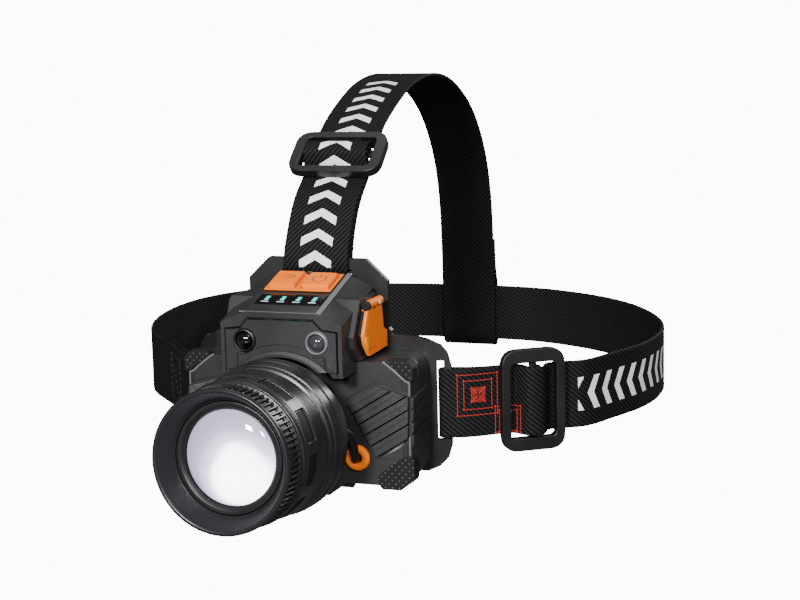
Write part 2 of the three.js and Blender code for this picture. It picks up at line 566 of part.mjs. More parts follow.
function usbSocket() {
  const x = [15.5, POD_HALF - 1.4];
  const shell = box(x, [-26.5, -17.5], [26.2, 29.8]);
  return cut(shell, box([17, POD_HALF + 1], [-25.7, -18.3], [26.9, 29.1]));
}

// ---------------------------------------------------------------- assembly
add('back_plate', backPlate(), ABS_DARK);
add('forehead_pad', foreheadPad(), FOAM);
add('hinge_pin', rod('x', TILT_PIN_R, [-14.2, 14.2], [TILT_Y, TILT_Z], 20), STEEL);
add('headband', headband(), WEBBING);
add('top_strap', topStrap(), WEBBING);
addSlider('headband_slider', BAND_SLIDER, (mesh) => {
  mesh.rotation.z = BAND_SLIDER.turn;
  mesh.position.set(...BAND_SLIDER.at, 0);
});
addSlider('top_strap_slider', TOP_SLIDER, (mesh) => {
  const along = new THREE.Vector3(0, Math.cos(TOP_SLIDER.turn), Math.sin(TOP_SLIDER.turn));
  const across = new THREE.Vector3(1, 0, 0);
  const out = new THREE.Vector3().crossVectors(across, along);
  mesh.quaternion.setFromRotationMatrix(new THREE.Matrix4().makeBasis(along, out, across.clone()));
  mesh.position.set(0, ...TOP_SLIDER.at);
});

add('rear_housing', rearHousing(), ABS);
add('front_cover', frontCover(), ABS);
add('housing_seal', housingSeal(), RUBBER);
for (const [word, side] of [['left', -1], ['right', 1]]) {
  add(`corner_pad_lower_${word}`, cornerPad(side, 'lower'), RUBBER);
  add(`corner_pad_upper_${word}`, cornerPad(side, 'upper'), RUBBER);
  add(`cell_contact_${word}`, contact(side), STEEL);
}
SCREW_SPOTS.forEach((spot, i) => add(`cover_screw_${i + 1}`, screw(spot), STEEL));
add('cell_upper', cell(CELL_Z[0]), WRAP);
add('cell_lower', cell(CELL_Z[1]), WRAP);

add('lamp_hood', lampHood(), ABS);
add('face_plate', facePlate(), ABS);
add('sensor_ring', eyeRing(-SENSOR_X), ABS_DARK);
add('sensor_dome', eyeDome(-SENSOR_X), ABS_DARK);
add('signal_ring', eyeRing(SENSOR_X), ABS_DARK);
add('signal_lens', eyeDome(SENSOR_X), CLEAR);
add('side_trim', sideTrim(), ABS);
add('port_cover', portCover(), ORANGE);
add('cover_pin', rod('y', COVER_PIN_R, [-29, -14.5], [PIVOT_X, PIVOT_Z], 14), STEEL);
add('usb_socket', usbSocket(), STEEL);
add('charge_board', box([8, 20.4], [-27, -17], [24.3, 25.9]), BOARD);

add('button_frame', buttonFrame(), ORANGE, slope);
for (const [word, span] of Object.entries(BUTTONS)) {
  add(`button_${word}`, button(span), ORANGE, slope);
  add(`tact_switch_${word}`, tactSwitch(span), ABS_DARK, slope);
}
add('control_board', box([-11, 11], [8, 27.6], [-8.6, -7]), BOARD, slope);
add('indicator_window', indicatorWindow(), ABS_DARK, slope);
LIGHT_X.forEach((x, i) => add(`indicator_light_${i + 1}`, box([x - 0.6, x + 0.6], [9.9, 12.7], [-6.6, 0.1]), CYAN, slope));

add('barrel_base', barrelBase(), ANODISED, head);
add('inner_tube', tube(20.1, 17.8, [BARREL_FRONT, -53.9]), ANODISED, head);
add('led_board', tube(16.5, 0.001, [-55.6, -53.9], 32), BOARD, head);
add('led_emitter', ledEmitter(), YELLOW, head);
add('led_dome', ledDome(), CLEAR, head);
add('cable_grommet', grommet(), ORANGE);
add('lamp_cable', lampCable(), RUBBER);
add('lens_carrier', lensCarrier(), ANODISED, head);
add('lens', lens(), CLEAR, head);
add('lens_ring', lensRing(), ABS_DARK, head);
add('focus_grip', focusGrip(), ANODISED, head);
add('bezel', bezel(), ANODISED, head);

const assembly = new THREE.Group();
assembly.add(lamp, slope, head);
export default assembly;
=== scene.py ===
"""Finished look of a zoom headlamp on a three-strap head harness, built round its CAD frame."""
import math

import bmesh
import bpy
from bpy.props import FloatProperty, FloatVectorProperty, IntProperty, PointerProperty
from mathutils import Matrix, Vector


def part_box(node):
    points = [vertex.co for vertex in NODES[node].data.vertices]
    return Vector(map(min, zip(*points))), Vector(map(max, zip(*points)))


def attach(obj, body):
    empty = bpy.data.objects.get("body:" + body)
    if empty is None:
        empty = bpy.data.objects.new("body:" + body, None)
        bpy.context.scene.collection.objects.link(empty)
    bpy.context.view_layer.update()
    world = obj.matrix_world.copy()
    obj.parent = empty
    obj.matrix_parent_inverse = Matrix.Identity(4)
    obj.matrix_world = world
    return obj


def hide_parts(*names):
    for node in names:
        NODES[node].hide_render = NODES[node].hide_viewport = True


bl_info = {
    "name": "Zoom Headlamp",
    "version": (1, 0, 0),
    "blender": (4, 5, 0),
    "location": "View3D > Sidebar > Headlamp",
    "description": "Builds a zoom headlamp with battery housing, light head and webbing harness",
    "category": "Add Mesh",
}

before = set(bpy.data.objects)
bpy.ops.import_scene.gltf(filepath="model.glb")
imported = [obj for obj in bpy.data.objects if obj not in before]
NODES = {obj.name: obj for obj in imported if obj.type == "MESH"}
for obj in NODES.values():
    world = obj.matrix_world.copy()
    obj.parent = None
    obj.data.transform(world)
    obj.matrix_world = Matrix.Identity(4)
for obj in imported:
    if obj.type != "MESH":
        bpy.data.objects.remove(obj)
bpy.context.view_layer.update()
MM = 0.001

# Places and sizes below are in millimetres, in the frame of the CAD part: the lamp looks along -Y,
# and the origin is the middle of the pad's rear face. Pieces are modelled in millimetres and
# scaled to metres when they are finished.
HEAD_TILT = math.radians(2.5)          # the light head looks up by this much
HEAD = Matrix.Translation((0, 0, -6.61)) @ Matrix.Rotation(-HEAD_TILT, 4, "X")
SLOPE = Matrix.Translation((0, -43, 37.3)) @ Matrix.Rotation(math.atan2(9.2, 31.3), 4, "X")
STRAIGHT = Matrix.Identity(4)
WING_FRONT = -29.6
WING_HALF = 42.4
WING_TOP = 18.7
FACE_Y = -43.0
POD_HALF = 24.5
HINGE = (26.4, 38.2)                   # X and Z of the port door's hinge
EYE_SIDE = 13.5
EYE_Z = 27.3
GROMMET = (22.3, -15.7)
ARCH_CENTRE = (0, -0.9)
FLOOR_Z = -130.0                       # low enough for the light head to tilt all the way down
BACK_SHIFT = 0.1                       # the straps' back faces lie this far to one side in their UV map


def linear(code):
    """An sRGB hex colour as linear red, green, blue and alpha."""
    parts = [int(code[i:i + 2], 16) / 255 for i in (1, 3, 5)]
    return tuple(c / 12.92 if c <= 0.04045 else ((c + 0.055) / 1.055) ** 2.4 for c in parts) + (1.0,)


# ---------------------------------------------------------------- properties
def colour(name, description, code):
    return FloatVectorProperty(name=name, description=description, default=linear(code), size=4,
                               subtype="COLOR", min=0, max=1)


class HeadlampSizes(bpy.types.PropertyGroup):
    webbing_width: FloatProperty(
        name="Webbing width", description="Width of all three straps", default=0.025, unit="LENGTH")
    webbing_thickness: FloatProperty(
        name="Webbing thickness", description="Thickness of the straps", default=0.0014,
        unit="LENGTH")
    twill_pitch: FloatProperty(
        name="Twill pitch", description="Distance between two diagonal ribs of the weave",
        default=0.0021, unit="LENGTH")
    ridge_count: IntProperty(
        name="Grip ridges", description="Ridges round the focusing grip", default=76, min=12)
    ridge_height: FloatProperty(
        name="Ridge height", description="Half of how far a grip ridge stands out", default=0.0006,
        unit="LENGTH")
    pocket_count: IntProperty(
        name="Barrel pockets", description="Milled pockets round the barrel", default=10, min=3)
    dot_spacing: FloatProperty(
        name="Dot spacing", description="Distance between the grip dots of the corner pads",
        default=0.0017, unit="LENGTH")
    stitch_length: FloatProperty(
        name="Stitch length", description="Length of one stitch with its gap", default=0.0024,
        unit="LENGTH")


class HeadlampColours(bpy.types.PropertyGroup):
    housing: colour("Housing", "Moulded housing shells and hood", "#252526")
    plate: colour("Plate", "Back plate, sliders and seals", "#0e0e0f")
    metal: colour("Light head", "Anodised light head", "#2c2c2f")
    accent: colour("Accent", "Covers, button frame and cable ring", "#ff7a00")
    webbing: colour("Webbing", "Ground of the webbing", "#020202")
    # The rib colour is painted highlight on the tops of the black weave.
    thread: colour("Webbing rib", "Raised ribs of the webbing", "#1e1e1f")
    ink: colour("Ink", "Reflective ink of the chevrons", "#ffffff")
    stitch: colour("Marker stitches", "Coloured stitches beside the front slider", "#a81c0c")
    lights: colour("Charge lights", "Four charge lights", "#2fd0c4")
    floor: colour("Floor", "Floor and wall of the studio", "#fbfbfb")


def sizes():
    return bpy.context.scene.headlamp_sizes


def colours():
    return bpy.context.scene.headlamp_colours


# ---------------------------------------------------------------- nodes and materials
def add(tree, kind, links=None, **settings):
    """Adds a node with its settings; links gives each input a socket to join or a value."""
    node = tree.nodes.new(kind)
    for key, value in settings.items():
        setattr(node, key, value)
    for key, source in (links or {}).items():
        if isinstance(source, bpy.types.NodeSocket):
            tree.links.new(source, node.inputs[key])
        else:
            node.inputs[key].default_value = source
    return node


def surface(name, **shader):
    """A new material with its shader; the keywords are sockets, with _ for each space."""
    material = bpy.data.materials.new(name)
    material.use_nodes = True
    tree = material.node_tree
    tree.nodes.clear()
    values = {key.replace("_", " "): value for key, value in shader.items()}
    bsdf = add(tree, "ShaderNodeBsdfPrincipled", values)
    add(tree, "ShaderNodeOutputMaterial", {"Surface": bsdf.outputs[0]})
    return material, tree, bsdf


def grain(tree, bsdf, size, depth, rough, shade=None):
    """Moulded or blasted grain: size in metres, bump depth in metres, a roughness range, two shades."""
    place = add(tree, "ShaderNodeTexCoord").outputs["Object"]
    fine = add(tree, "ShaderNodeTexNoise", {"Vector": place, "Scale": 1 / size, "Detail": 3.0})
    broad = add(tree, "ShaderNodeTexNoise", {"Vector": place, "Scale": 60.0, "Detail": 2.0})
    bump = add(tree, "ShaderNodeBump", {"Height": fine.outputs[0], "Strength": 0.6, "Distance": depth})
    tree.links.new(bump.outputs[0], bsdf.inputs["Normal"])
    gloss = add(tree, "ShaderNodeMapRange", {"Value": broad.outputs[0], "From Min": 0.3, "From Max": 0.7,
                                             "To Min": rough[0], "To Max": rough[1]})
    tree.links.new(gloss.outputs[0], bsdf.inputs["Roughness"])
    if shade:
        tone = add(tree, "ShaderNodeMix", {"Factor": broad.outputs[0], "A": shade[0], "B": shade[1]},
                   data_type="RGBA")
        tree.links.new(tone.outputs["Result"], bsdf.inputs["Base Color"])


def by_ray(tree, seen, cast):
    """A strength that the camera sees and another one that lights the lamp."""
    path = add(tree, "ShaderNodeLightPath")
    return add(tree, "ShaderNodeMath", {0: path.outputs["Is Camera Ray"], 1: seen - cast, 2: cast},
               operation="MULTIPLY_ADD").outputs[0]


def near(tone, factor):
    """The same colour, made lighter or darker."""
    return tuple(min(1.0, c * factor) for c in tone[:3]) + (1.0,)


def make_materials():
    """Every finish of the lamp, by the name that the pieces use."""
    look = colours()
    made = {}

    # Moulded ABS with a spark-eroded grain: a soft satin charcoal; its light edges come from bevels.
    for name, tone in (("housing_abs", look.housing), ("plate_abs", look.plate)):
        made[name], tree, bsdf = surface(name, IOR=1.53)
        grain(tree, bsdf, 0.00045, 0.00003, (0.36, 0.5), (near(tone, 0.85), near(tone, 1.2)))

    # The same ABS painted lighter: painted highlight on the chamfers and edges that catch the light, and
    # the pale grey of the signal eye's ring.
    made["highlight_grey_abs"], tree, bsdf = surface("highlight_grey_abs", IOR=1.53)
    grain(tree, bsdf, 0.0008, 0.00001, (0.25, 0.34), (linear("#5c5d61"), linear("#747579")))

    # Orange ABS, polished tool: brighter and glossier than the black shells.
    made["orange_abs"], tree, bsdf = surface("orange_abs", IOR=1.53, Specular_IOR_Level=0.3)
    grain(tree, bsdf, 0.0006, 0.00002, (0.3, 0.4), (near(look.accent, 0.85), near(look.accent, 0.95)))

    # Silicone rubber keys, door and cable ring: the same orange, in a softer light.
    made["orange_silicone"], tree, bsdf = surface("orange_silicone", IOR=1.43, Specular_IOR_Level=0.25)
    grain(tree, bsdf, 0.0004, 0.00003, (0.42, 0.55), (near(look.accent, 0.95), near(look.accent, 1.05)))

    # The thumb lip of the port door, in the orange rubber painted yellower as painted highlight, and the
    # painted shade laid in the sunk marks of the keys.
    made["highlight_orange_silicone"], tree, bsdf = surface("highlight_orange_silicone", IOR=1.43)
    grain(tree, bsdf, 0.0004, 0.00002, (0.4, 0.5), (linear("#ffa400"), linear("#ffb400")))
    made["icon_shade"], tree, bsdf = surface("icon_shade", IOR=1.5)
    grain(tree, bsdf, 0.0006, 0.00001, (0.5, 0.6), (linear("#8a2c00"), linear("#983400")))

    # Rubber: nearly black and dull; it also paints the shade in the barrel's pockets.
    made["rubber"], tree, bsdf = surface("rubber", IOR=1.52, Specular_IOR_Level=0.3)
    grain(tree, bsdf, 0.0005, 0.00004, (0.6, 0.75), (linear("#0a0a0a"), linear("#101011")))
    made["rubber_dots"], tree, bsdf = surface("rubber_dots", IOR=1.52)
    grain(tree, bsdf, 0.0005, 0.00002, (0.4, 0.5), (linear("#454547"), linear("#555558")))

    # PVC cable jacket: smooth black.
    made["cable_pvc"], tree, bsdf = surface("cable_pvc", IOR=1.53)
    grain(tree, bsdf, 0.001, 0.00001, (0.3, 0.4), (linear("#0b0b0c"), linear("#121213")))

    # Anodised aluminium, turned: fine rings run round the axis under a satin black layer.
    made["anodised_aluminium"], tree, bsdf = surface("anodised_aluminium", Metallic=0.45,
                                                     Base_Color=look.metal)
    place = add(tree, "ShaderNodeTexCoord").outputs["Object"]
    turned = add(tree, "ShaderNodeMapping", {"Vector": place, "Scale": (12.0, 2600.0, 12.0),
                                             "Rotation": (HEAD_TILT, 0.0, 0.0)})
    rings = add(tree, "ShaderNodeTexNoise", {"Vector": turned.outputs[0], "Scale": 1.0, "Detail": 2.0})
    bump = add(tree, "ShaderNodeBump", {"Height": rings.outputs[0], "Strength": 0.35, "Distance": 0.00002})
    tree.links.new(bump.outputs[0], bsdf.inputs["Normal"])
    gloss = add(tree, "ShaderNodeMapRange", {"Value": rings.outputs[0], "To Min": 0.24, "To Max": 0.4})
    tree.links.new(gloss.outputs[0], bsdf.inputs["Roughness"])

    # Plated steel: pins, screws and contacts.
    made["plated_steel"], tree, bsdf = surface("plated_steel", Metallic=1.0)
    grain(tree, bsdf, 0.0008, 0.00001, (0.22, 0.34), (linear("#7d8085"), linear("#a2a5aa")))

    # Closed-cell foam with a knitted face.
    made["knitted_foam"], tree, bsdf = surface("knitted_foam", Sheen_Weight=0.3, Sheen_Roughness=0.6)
    grain(tree, bsdf, 0.0012, 0.00015, (0.85, 0.95), (linear("#161617"), linear("#27272a")))

    # Thread: matte polyester.
    for name, tone in (("black_thread", linear("#1b1b1d")), ("marker_thread", look.stitch)):
        made[name], tree, bsdf = surface(name, IOR=1.5)
        grain(tree, bsdf, 0.0003, 0.00003, (0.6, 0.75), (near(tone, 0.85), near(tone, 1.15)))

    # Acrylic condenser lens over the lit emitter: white low on one side, fading to a cool lavender.
    made["lit_lens"], tree, bsdf = surface("lit_lens", IOR=1.49, Roughness=0.06, Coat_Weight=0.6,
                                           Coat_Roughness=0.02, Base_Color=linear("#8f8b96"))
    tree.links.new(by_ray(tree, 8.0, 0.5), bsdf.inputs["Emission Strength"])
    place = add(tree, "ShaderNodeTexCoord").outputs["Object"]
    centred = add(tree, "ShaderNodeMapping", {"Vector": place, "Location": (-0.0045, 0.0, 0.0085)})
    flat = add(tree, "ShaderNodeVectorMath", {0: centred.outputs[0], 1: (1.0, 0.0, 1.0)},
               operation="MULTIPLY")
    reach = add(tree, "ShaderNodeVectorMath", {0: flat.outputs[0]}, operation="LENGTH")
    cloud = add(tree, "ShaderNodeTexNoise", {"Vector": place, "Scale": 70.0, "Detail": 2.0})
    drift = add(tree, "ShaderNodeMath", {0: cloud.outputs[0], 1: 0.006, 2: reach.outputs["Value"]},
                operation="MULTIPLY_ADD")
    ramp = add(tree, "ShaderNodeValToRGB")
    span = add(tree, "ShaderNodeMapRange", {"Value": drift.outputs[0], "From Min": 0.008,
                                            "From Max": 0.0225})
    tree.links.new(span.outputs[0], ramp.inputs[0])
    stops = ramp.color_ramp.elements
    stops[0].position, stops[0].color = 0.0, linear("#ffffff")
    stops[1].position, stops[1].color = 1.0, linear("#3d3845")
    for position, code in ((0.3, "#e4e0ec"), (0.48, "#857d93"), (0.75, "#4c4659")):
        stops.new(position).color = linear(code)
    tree.links.new(ramp.outputs[0], bsdf.inputs["Emission Color"])

    # Clear and smoked polycarbonate of the two eyes on the face.
    made["clear_dome"], tree, bsdf = surface("clear_dome", IOR=1.58, Coat_Weight=1.0)
    grain(tree, bsdf, 0.003, 0.00001, (0.05, 0.1), (linear("#222326"), linear("#3c3d42")))
    made["smoked_dome"], tree, bsdf = surface("smoked_dome", IOR=1.58, Coat_Weight=1.0)
    grain(tree, bsdf, 0.003, 0.00001, (0.05, 0.1), (linear("#050506"), linear("#0a0a0c")))

    # Gloss black window of the charge lights, their lit marks and the printed bars below them; the bars'
    # grey also paints the glint on the port door's hinge stud.
    made["dark_window"], tree, bsdf = surface("dark_window", IOR=1.49, Coat_Weight=0.2, Coat_Roughness=0.1)
    grain(tree, bsdf, 0.004, 0.000005, (0.12, 0.2), (linear("#070708"), linear("#0c0c0e")))
    made["light_cyan"], tree, bsdf = surface("light_cyan", IOR=1.49, Emission_Strength=0.7,
                                             Emission_Color=look.lights)
    grain(tree, bsdf, 0.002, 0.000005, (0.2, 0.3), (near(look.lights, 0.95), look.lights))
    made["grey_ink_and_glint"], tree, bsdf = surface("grey_ink_and_glint", IOR=1.5)
    grain(tree, bsdf, 0.001, 0.000005, (0.5, 0.6), (linear("#c4c8cb"), linear("#dadddf")))

    # Inner parts: fibreglass board, phosphor, printed cell sleeve.
    made["circuit_board"], tree, bsdf = surface("circuit_board", IOR=1.55)
    grain(tree, bsdf, 0.002, 0.00002, (0.35, 0.5), (linear("#0f4526"), linear("#1c6b3a")))
    made["led_phosphor"], tree, bsdf = surface("led_phosphor", IOR=1.5)
    grain(tree, bsdf, 0.0008, 0.00001, (0.4, 0.5), (linear("#e6c84b"), linear("#f6de78")))
    made["cell_sleeve"], tree, bsdf = surface("cell_sleeve", IOR=1.5)
    grain(tree, bsdf, 0.003, 0.00001, (0.25, 0.35), (linear("#2866a4"), linear("#3a7fc0")))

    # Painted studio floor: bright to look at, though it throws little light on the lamp.
    made["studio_paint"], tree, bsdf = surface("studio_paint", Emission_Color=look.floor)
    tree.links.new(by_ray(tree, 12.0, 0.06), bsdf.inputs["Emission Strength"])
    grain(tree, bsdf, 0.02, 0.00001, (0.9, 1.0), (near(look.floor, 0.04), near(look.floor, 0.05)))
    return made


TWILL_LEAN = 1.15
# The printed chevrons, in metres: half their height, the distance between two, how far each leans,
# and the share of the distance that is inked.
CHEVRON_HALF, CHEVRON_PITCH, CHEVRON_LEAN, CHEVRON_SHARE = 0.0062, 0.0082, 0.55, 0.40


def webbing_material(name, start, end):
    """Woven polyester webbing: diagonal twill ribs, painted lighter on their tops and darker in their
    valleys as painted highlight and shade, and ink chevrons between two places along the strap. The UV map
    holds metres, and so do the places."""
    look = colours()
    material, tree, bsdf = surface(name, IOR=1.5, Specular_IOR_Level=0.15)
    uv = add(tree, "ShaderNodeUVMap", uv_map="Weave")
    axes = add(tree, "ShaderNodeSeparateXYZ", {"Vector": uv.outputs[0]})
    waver = add(tree, "ShaderNodeTexNoise", {"Vector": uv.outputs[0], "Scale": 900.0, "Detail": 2.0})
    made = {"across": axes.outputs["X"], "along": axes.outputs["Y"], "waver": waver.outputs[0]}
    pitch = sizes().twill_pitch

    # Each step has a name, an operation, and inputs that are numbers or the names of earlier ones.
    steps = (
        # Diagonal ribs, with the yarn's own crossings at a third of the pitch; each face has its slant.
        ("back", "GREATER_THAN", "across", BACK_SHIFT / 2),
        ("face", "MULTIPLY_ADD", "back", 2.0, -1.0),
        ("aside", "MULTIPLY", "across", "face"),
        ("slant", "MULTIPLY_ADD", "aside", TWILL_LEAN, "along"),
        ("rib_turn", "MULTIPLY", "slant", 2 * math.pi / pitch),
        ("rib", "SINE", "rib_turn"),
        ("yarn_turn", "MULTIPLY", "across", 6 * math.pi / pitch),
        ("yarn", "SINE", "yarn_turn"),
        ("pick", "MULTIPLY_ADD", "yarn", 0.22, "rib"),
        ("height", "MULTIPLY_ADD", "pick", 0.5, 0.5),
        ("fibre", "MULTIPLY_ADD", "waver", 0.5, "height"),
        # Ink chevrons, a little thinner in the valleys of the weave.
        ("after_start", "GREATER_THAN", "along", start),
        ("before_end", "LESS_THAN", "along", end),
        ("stretch", "MULTIPLY", "after_start", "before_end"),
        ("flank", "ABSOLUTE", "across"),
        ("middle", "LESS_THAN", "flank", CHEVRON_HALF),
        ("inside", "MULTIPLY", "stretch", "middle"),
        ("lean", "MULTIPLY_ADD", "flank", CHEVRON_LEAN, "along"),
        ("count", "DIVIDE", "lean", CHEVRON_PITCH),
        ("share", "FRACT", "count"),
        ("bar", "LESS_THAN", "share", CHEVRON_SHARE),
        ("ink", "MULTIPLY", "inside", "bar"),
        ("wear", "MULTIPLY_ADD", "height", 0.12, 0.88),
        ("worn", "MULTIPLY", "ink", "wear"),
    )
    for label, operation, *inputs in steps:
        links = {i: made.get(value, value) for i, value in enumerate(inputs)}
        made[label] = add(tree, "ShaderNodeMath", links, operation=operation).outputs[0]
    # Colour by the height of the weave: lighter rib tops and darker valleys, painted highlight and painted
    # shade.
    tone = add(tree, "ShaderNodeValToRGB")
    tree.links.new(made["fibre"], tone.inputs[0])
    stops = tone.color_ramp.elements
    stops[0].position, stops[0].color = 0.5, look.webbing
    stops[1].position, stops[1].color = 1.0, look.thread
    printed = add(tree, "ShaderNodeMix", {"Factor": made["worn"], "A": tone.outputs[0], "B": look.ink},
                  data_type="RGBA")
    tree.links.new(printed.outputs["Result"], bsdf.inputs["Base Color"])
    bump = add(tree, "ShaderNodeBump", {"Height": made["fibre"], "Strength": 0.7, "Distance": 0.00025})
    tree.links.new(bump.outputs[0], bsdf.inputs["Normal"])
    gloss = add(tree, "ShaderNodeMapRange", {"Value": made["height"], "To Min": 0.8, "To Max": 0.62})
    tree.links.new(gloss.outputs[0], bsdf.inputs["Roughness"])
    return material


# ---------------------------------------------------------------- shapes, in millimetres
FLAT_ANGLE = math.radians(0.8)         # neighbouring faces that bend less than this become one


def new_object(name, data):
    """A scene object for a mesh, a light or a camera, at the origin."""
    obj = bpy.data.objects.new(name, data)
    bpy.context.scene.collection.objects.link(obj)
    return obj


def from_bmesh(name, bm, outward=True):
    """The bmesh as an object, with its faces turned outwards unless that is not wanted."""
    if outward:
        bmesh.ops.recalc_face_normals(bm, faces=bm.faces)
    mesh = bpy.data.meshes.new(name)
    bm.to_mesh(mesh)
    bm.free()
    return new_object(name, mesh)


def cad_shape(node):
    """A copy of a CAD node with its triangles merged back into flat faces."""
    bm = bmesh.new()
    bm.from_mesh(NODES[node].data)
    bmesh.ops.scale(bm, vec=(1 / MM,) * 3, verts=bm.verts)
    bmesh.ops.remove_doubles(bm, verts=bm.verts, dist=0.002)
    bmesh.ops.dissolve_limit(bm, angle_limit=FLAT_ANGLE, verts=bm.verts, edges=bm.edges)
    return from_bmesh(node + "_shape", bm, outward=False)


def prism(outline, axis, low, high, frame_matrix=None):
    """An outline extruded along an axis: x takes (Y, Z) points, y takes (X, Z), z takes (X, Y)."""
    order = {"x": (2, 0, 1), "y": (0, 2, 1), "z": (0, 1, 2)}[axis]
    bm = bmesh.new()
    ends = [[bm.verts.new([(a, b, c)[i] for i in order]) for a, b in outline] for c in (low, high)]
    bm.faces.new(ends[0])
    bm.faces.new(ends[1])
    count = len(outline)
    for i in range(count):
        j = (i + 1) % count
        bm.faces.new((ends[0][i], ends[0][j], ends[1][j], ends[1][i]))
    if frame_matrix:
        bm.transform(frame_matrix)
    return from_bmesh("prism", bm)


def box(x, y, z, frame_matrix=None):
    """A block between two places on each axis."""
    outline = [(x[0], y[0]), (x[1], y[0]), (x[1], y[1]), (x[0], y[1])]
    return prism(outline, "z", z[0], z[1], frame_matrix)


def arc(radius, angles, centre=(0, 0)):
    """Points on a circle at the given angles."""
    return [(centre[0] + radius * math.cos(a), centre[1] + radius * math.sin(a)) for a in angles]


def sector(inner, outer, angles):
    """Part of a flat ring between two radii."""
    return arc(inner, angles) + arc(outer, angles[::-1])


def dome(radius, back, edge, crown, steps):
    """Outline of a domed disc: its flat back, the edge of its front and how far the front swells."""
    points = [(0.0, back), (radius, back), (radius, edge)]
    for i in range(1, steps + 1):
        angle = i / steps * math.pi / 2
        points.append((radius * math.cos(angle) if i < steps else 0.0, edge - crown * math.sin(angle)))
    return points


def rounded(points, radius, steps=3, sharp=()):
    """A closed outline with its corners rounded, but for those whose numbers are in sharp."""
    made = []
    count = len(points)
    for i, corner in enumerate(points):
        corner = Vector(corner)
        before, after = Vector(points[i - 1]), Vector(points[(i + 1) % count])
        reach = min(radius, (before - corner).length * 0.45, (after - corner).length * 0.45)
        if i in sharp or reach < 0.01:
            made.append(tuple(corner))
            continue
        start = corner + (before - corner).normalized() * reach
        end = corner + (after - corner).normalized() * reach
        for k in range(steps + 1):
            t = k / steps
            made.append(tuple(start * (1 - t) ** 2 + corner * 2 * t * (1 - t) + end * t ** 2))
    return made


def lathe(profile, sides=144, centre=(0, 0), frame_matrix=STRAIGHT):
    """A closed profile of (radius, y) points turned about the Y direction through the centre."""
    bm = bmesh.new()
    rings = []
    for radius, y in profile:
        if radius < 0.01:
            rings.append([bm.verts.new((centre[0], y, centre[1]))] * sides)
        else:
            turn = arc(radius, [2 * math.pi * k / sides for k in range(sides)], centre)
            rings.append([bm.verts.new((x, y, z)) for x, z in turn])
    for one, two in zip(rings, rings[1:] + rings[:1]):
        for k in range(sides):
            corners = list(dict.fromkeys((one[k], one[(k + 1) % sides], two[(k + 1) % sides], two[k])))
            if len(corners) > 2:
                bm.faces.new(corners)
    bm.transform(frame_matrix)
    return from_bmesh("lathe", bm)


def bake(obj):
    """Turns the object's modifiers into plain mesh."""
    bpy.context.view_layer.update()
    done = bpy.data.meshes.new_from_object(obj.evaluated_get(bpy.context.evaluated_depsgraph_get()))
    obj.modifiers.clear()
    obj.data = done
    return obj


def combine(obj, tools, operation):
    """Cuts, joins or crosses the object with each tool in turn, and removes the tools."""
    for tool in tools:
        step = obj.modifiers.new("part", "BOOLEAN")
        step.operation, step.solver, step.object = operation, "EXACT", tool
        bake(obj)
        bpy.data.objects.remove(tool)
    return obj


def cut(obj, *tools):
    return combine(obj, tools, "DIFFERENCE")


def fuse(obj, *tools):
    return combine(obj, tools, "UNION")


def keep(obj, *tools):
    return combine(obj, tools, "INTERSECT")


def gather(*objects):
    """Several shapes as one object, without joining their surfaces."""
    bm = bmesh.new()
    for one in objects:
        bm.from_mesh(one.data)
        bpy.data.objects.remove(one)
    return from_bmesh("gathered", bm, outward=False)


def mirrored(obj):
    """A copy mirrored left to right."""
    bm = bmesh.new()
    bm.from_mesh(obj.data)
    bm.transform(Matrix.Scale(-1, 4, (1, 0, 0)))
    bmesh.ops.reverse_faces(bm, faces=bm.faces)
    return from_bmesh(obj.name + "_mirrored", bm, outward=False)


def both_sides(tools):
    """Each tool with its mirrored copy."""
    return [shape for one in tools for shape in (mirrored(one), one)]


def soften(obj, width, segments=2, angle=30):
    """Rounds the edges that are sharper than the angle."""
    bm = bmesh.new()
    bm.from_mesh(obj.data)
    bmesh.ops.remove_doubles(bm, verts=bm.verts, dist=0.003)
    bmesh.ops.dissolve_limit(bm, angle_limit=FLAT_ANGLE, verts=bm.verts, edges=bm.edges)
    bm.to_mesh(obj.data)
    bm.free()
    step = obj.modifiers.new("edges", "BEVEL")
    step.width, step.segments, step.angle_limit = width, segments, math.radians(angle)
    step.limit_method, step.use_clamp_overlap, step.miter_outer = "ANGLE", True, "MITER_ARC"
    return bake(obj)


def finish(obj, name, body, material, stands_for=(), smooth=35):
    """Scales the shape to metres, paints it and lets it ride on its body."""
    obj.name = obj.data.name = name
    obj.data.transform(Matrix.Scale(MM, 4))
    obj.data.shade_smooth()
    obj.data.set_sharp_from_angle(angle=math.radians(smooth))
    step = obj.modifiers.new("normals", "WEIGHTED_NORMAL")
    step.keep_sharp = True
    bake(obj)
    if material:
        obj.data.materials.clear()
        obj.data.materials.append(FINISHES[material])
    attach(obj, body)
    if stands_for:
        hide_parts(*stands_for)
    return obj


# ---------------------------------------------------------------- repeated shapes
def repeater(name, inputs):
    """A geometry node tree with named inputs; returns the tree and its input node."""
    tree = bpy.data.node_groups.new(name, "GeometryNodeTree")
    tree.interface.new_socket("Geometry", in_out="INPUT", socket_type="NodeSocketGeometry")
    for label, kind, value in inputs:
        socket = tree.interface.new_socket(label, in_out="INPUT", socket_type=kind)
        if value is not None:
            socket.default_value = value
    tree.interface.new_socket("Geometry", in_out="OUTPUT", socket_type="NodeSocketGeometry")
    return tree, tree.nodes.new("NodeGroupInput")


def close_tree(tree, source, shapes):
    """Ends a tree: instances become real faces with the material of the input."""
    real = add(tree, "GeometryNodeRealizeInstances", {"Geometry": shapes})
    painted = add(tree, "GeometryNodeSetMaterial", {"Geometry": real.outputs[0],
                                                    "Material": source.outputs["Material"]})
    add(tree, "NodeGroupOutput", {"Geometry": painted.outputs[0]})
    return tree


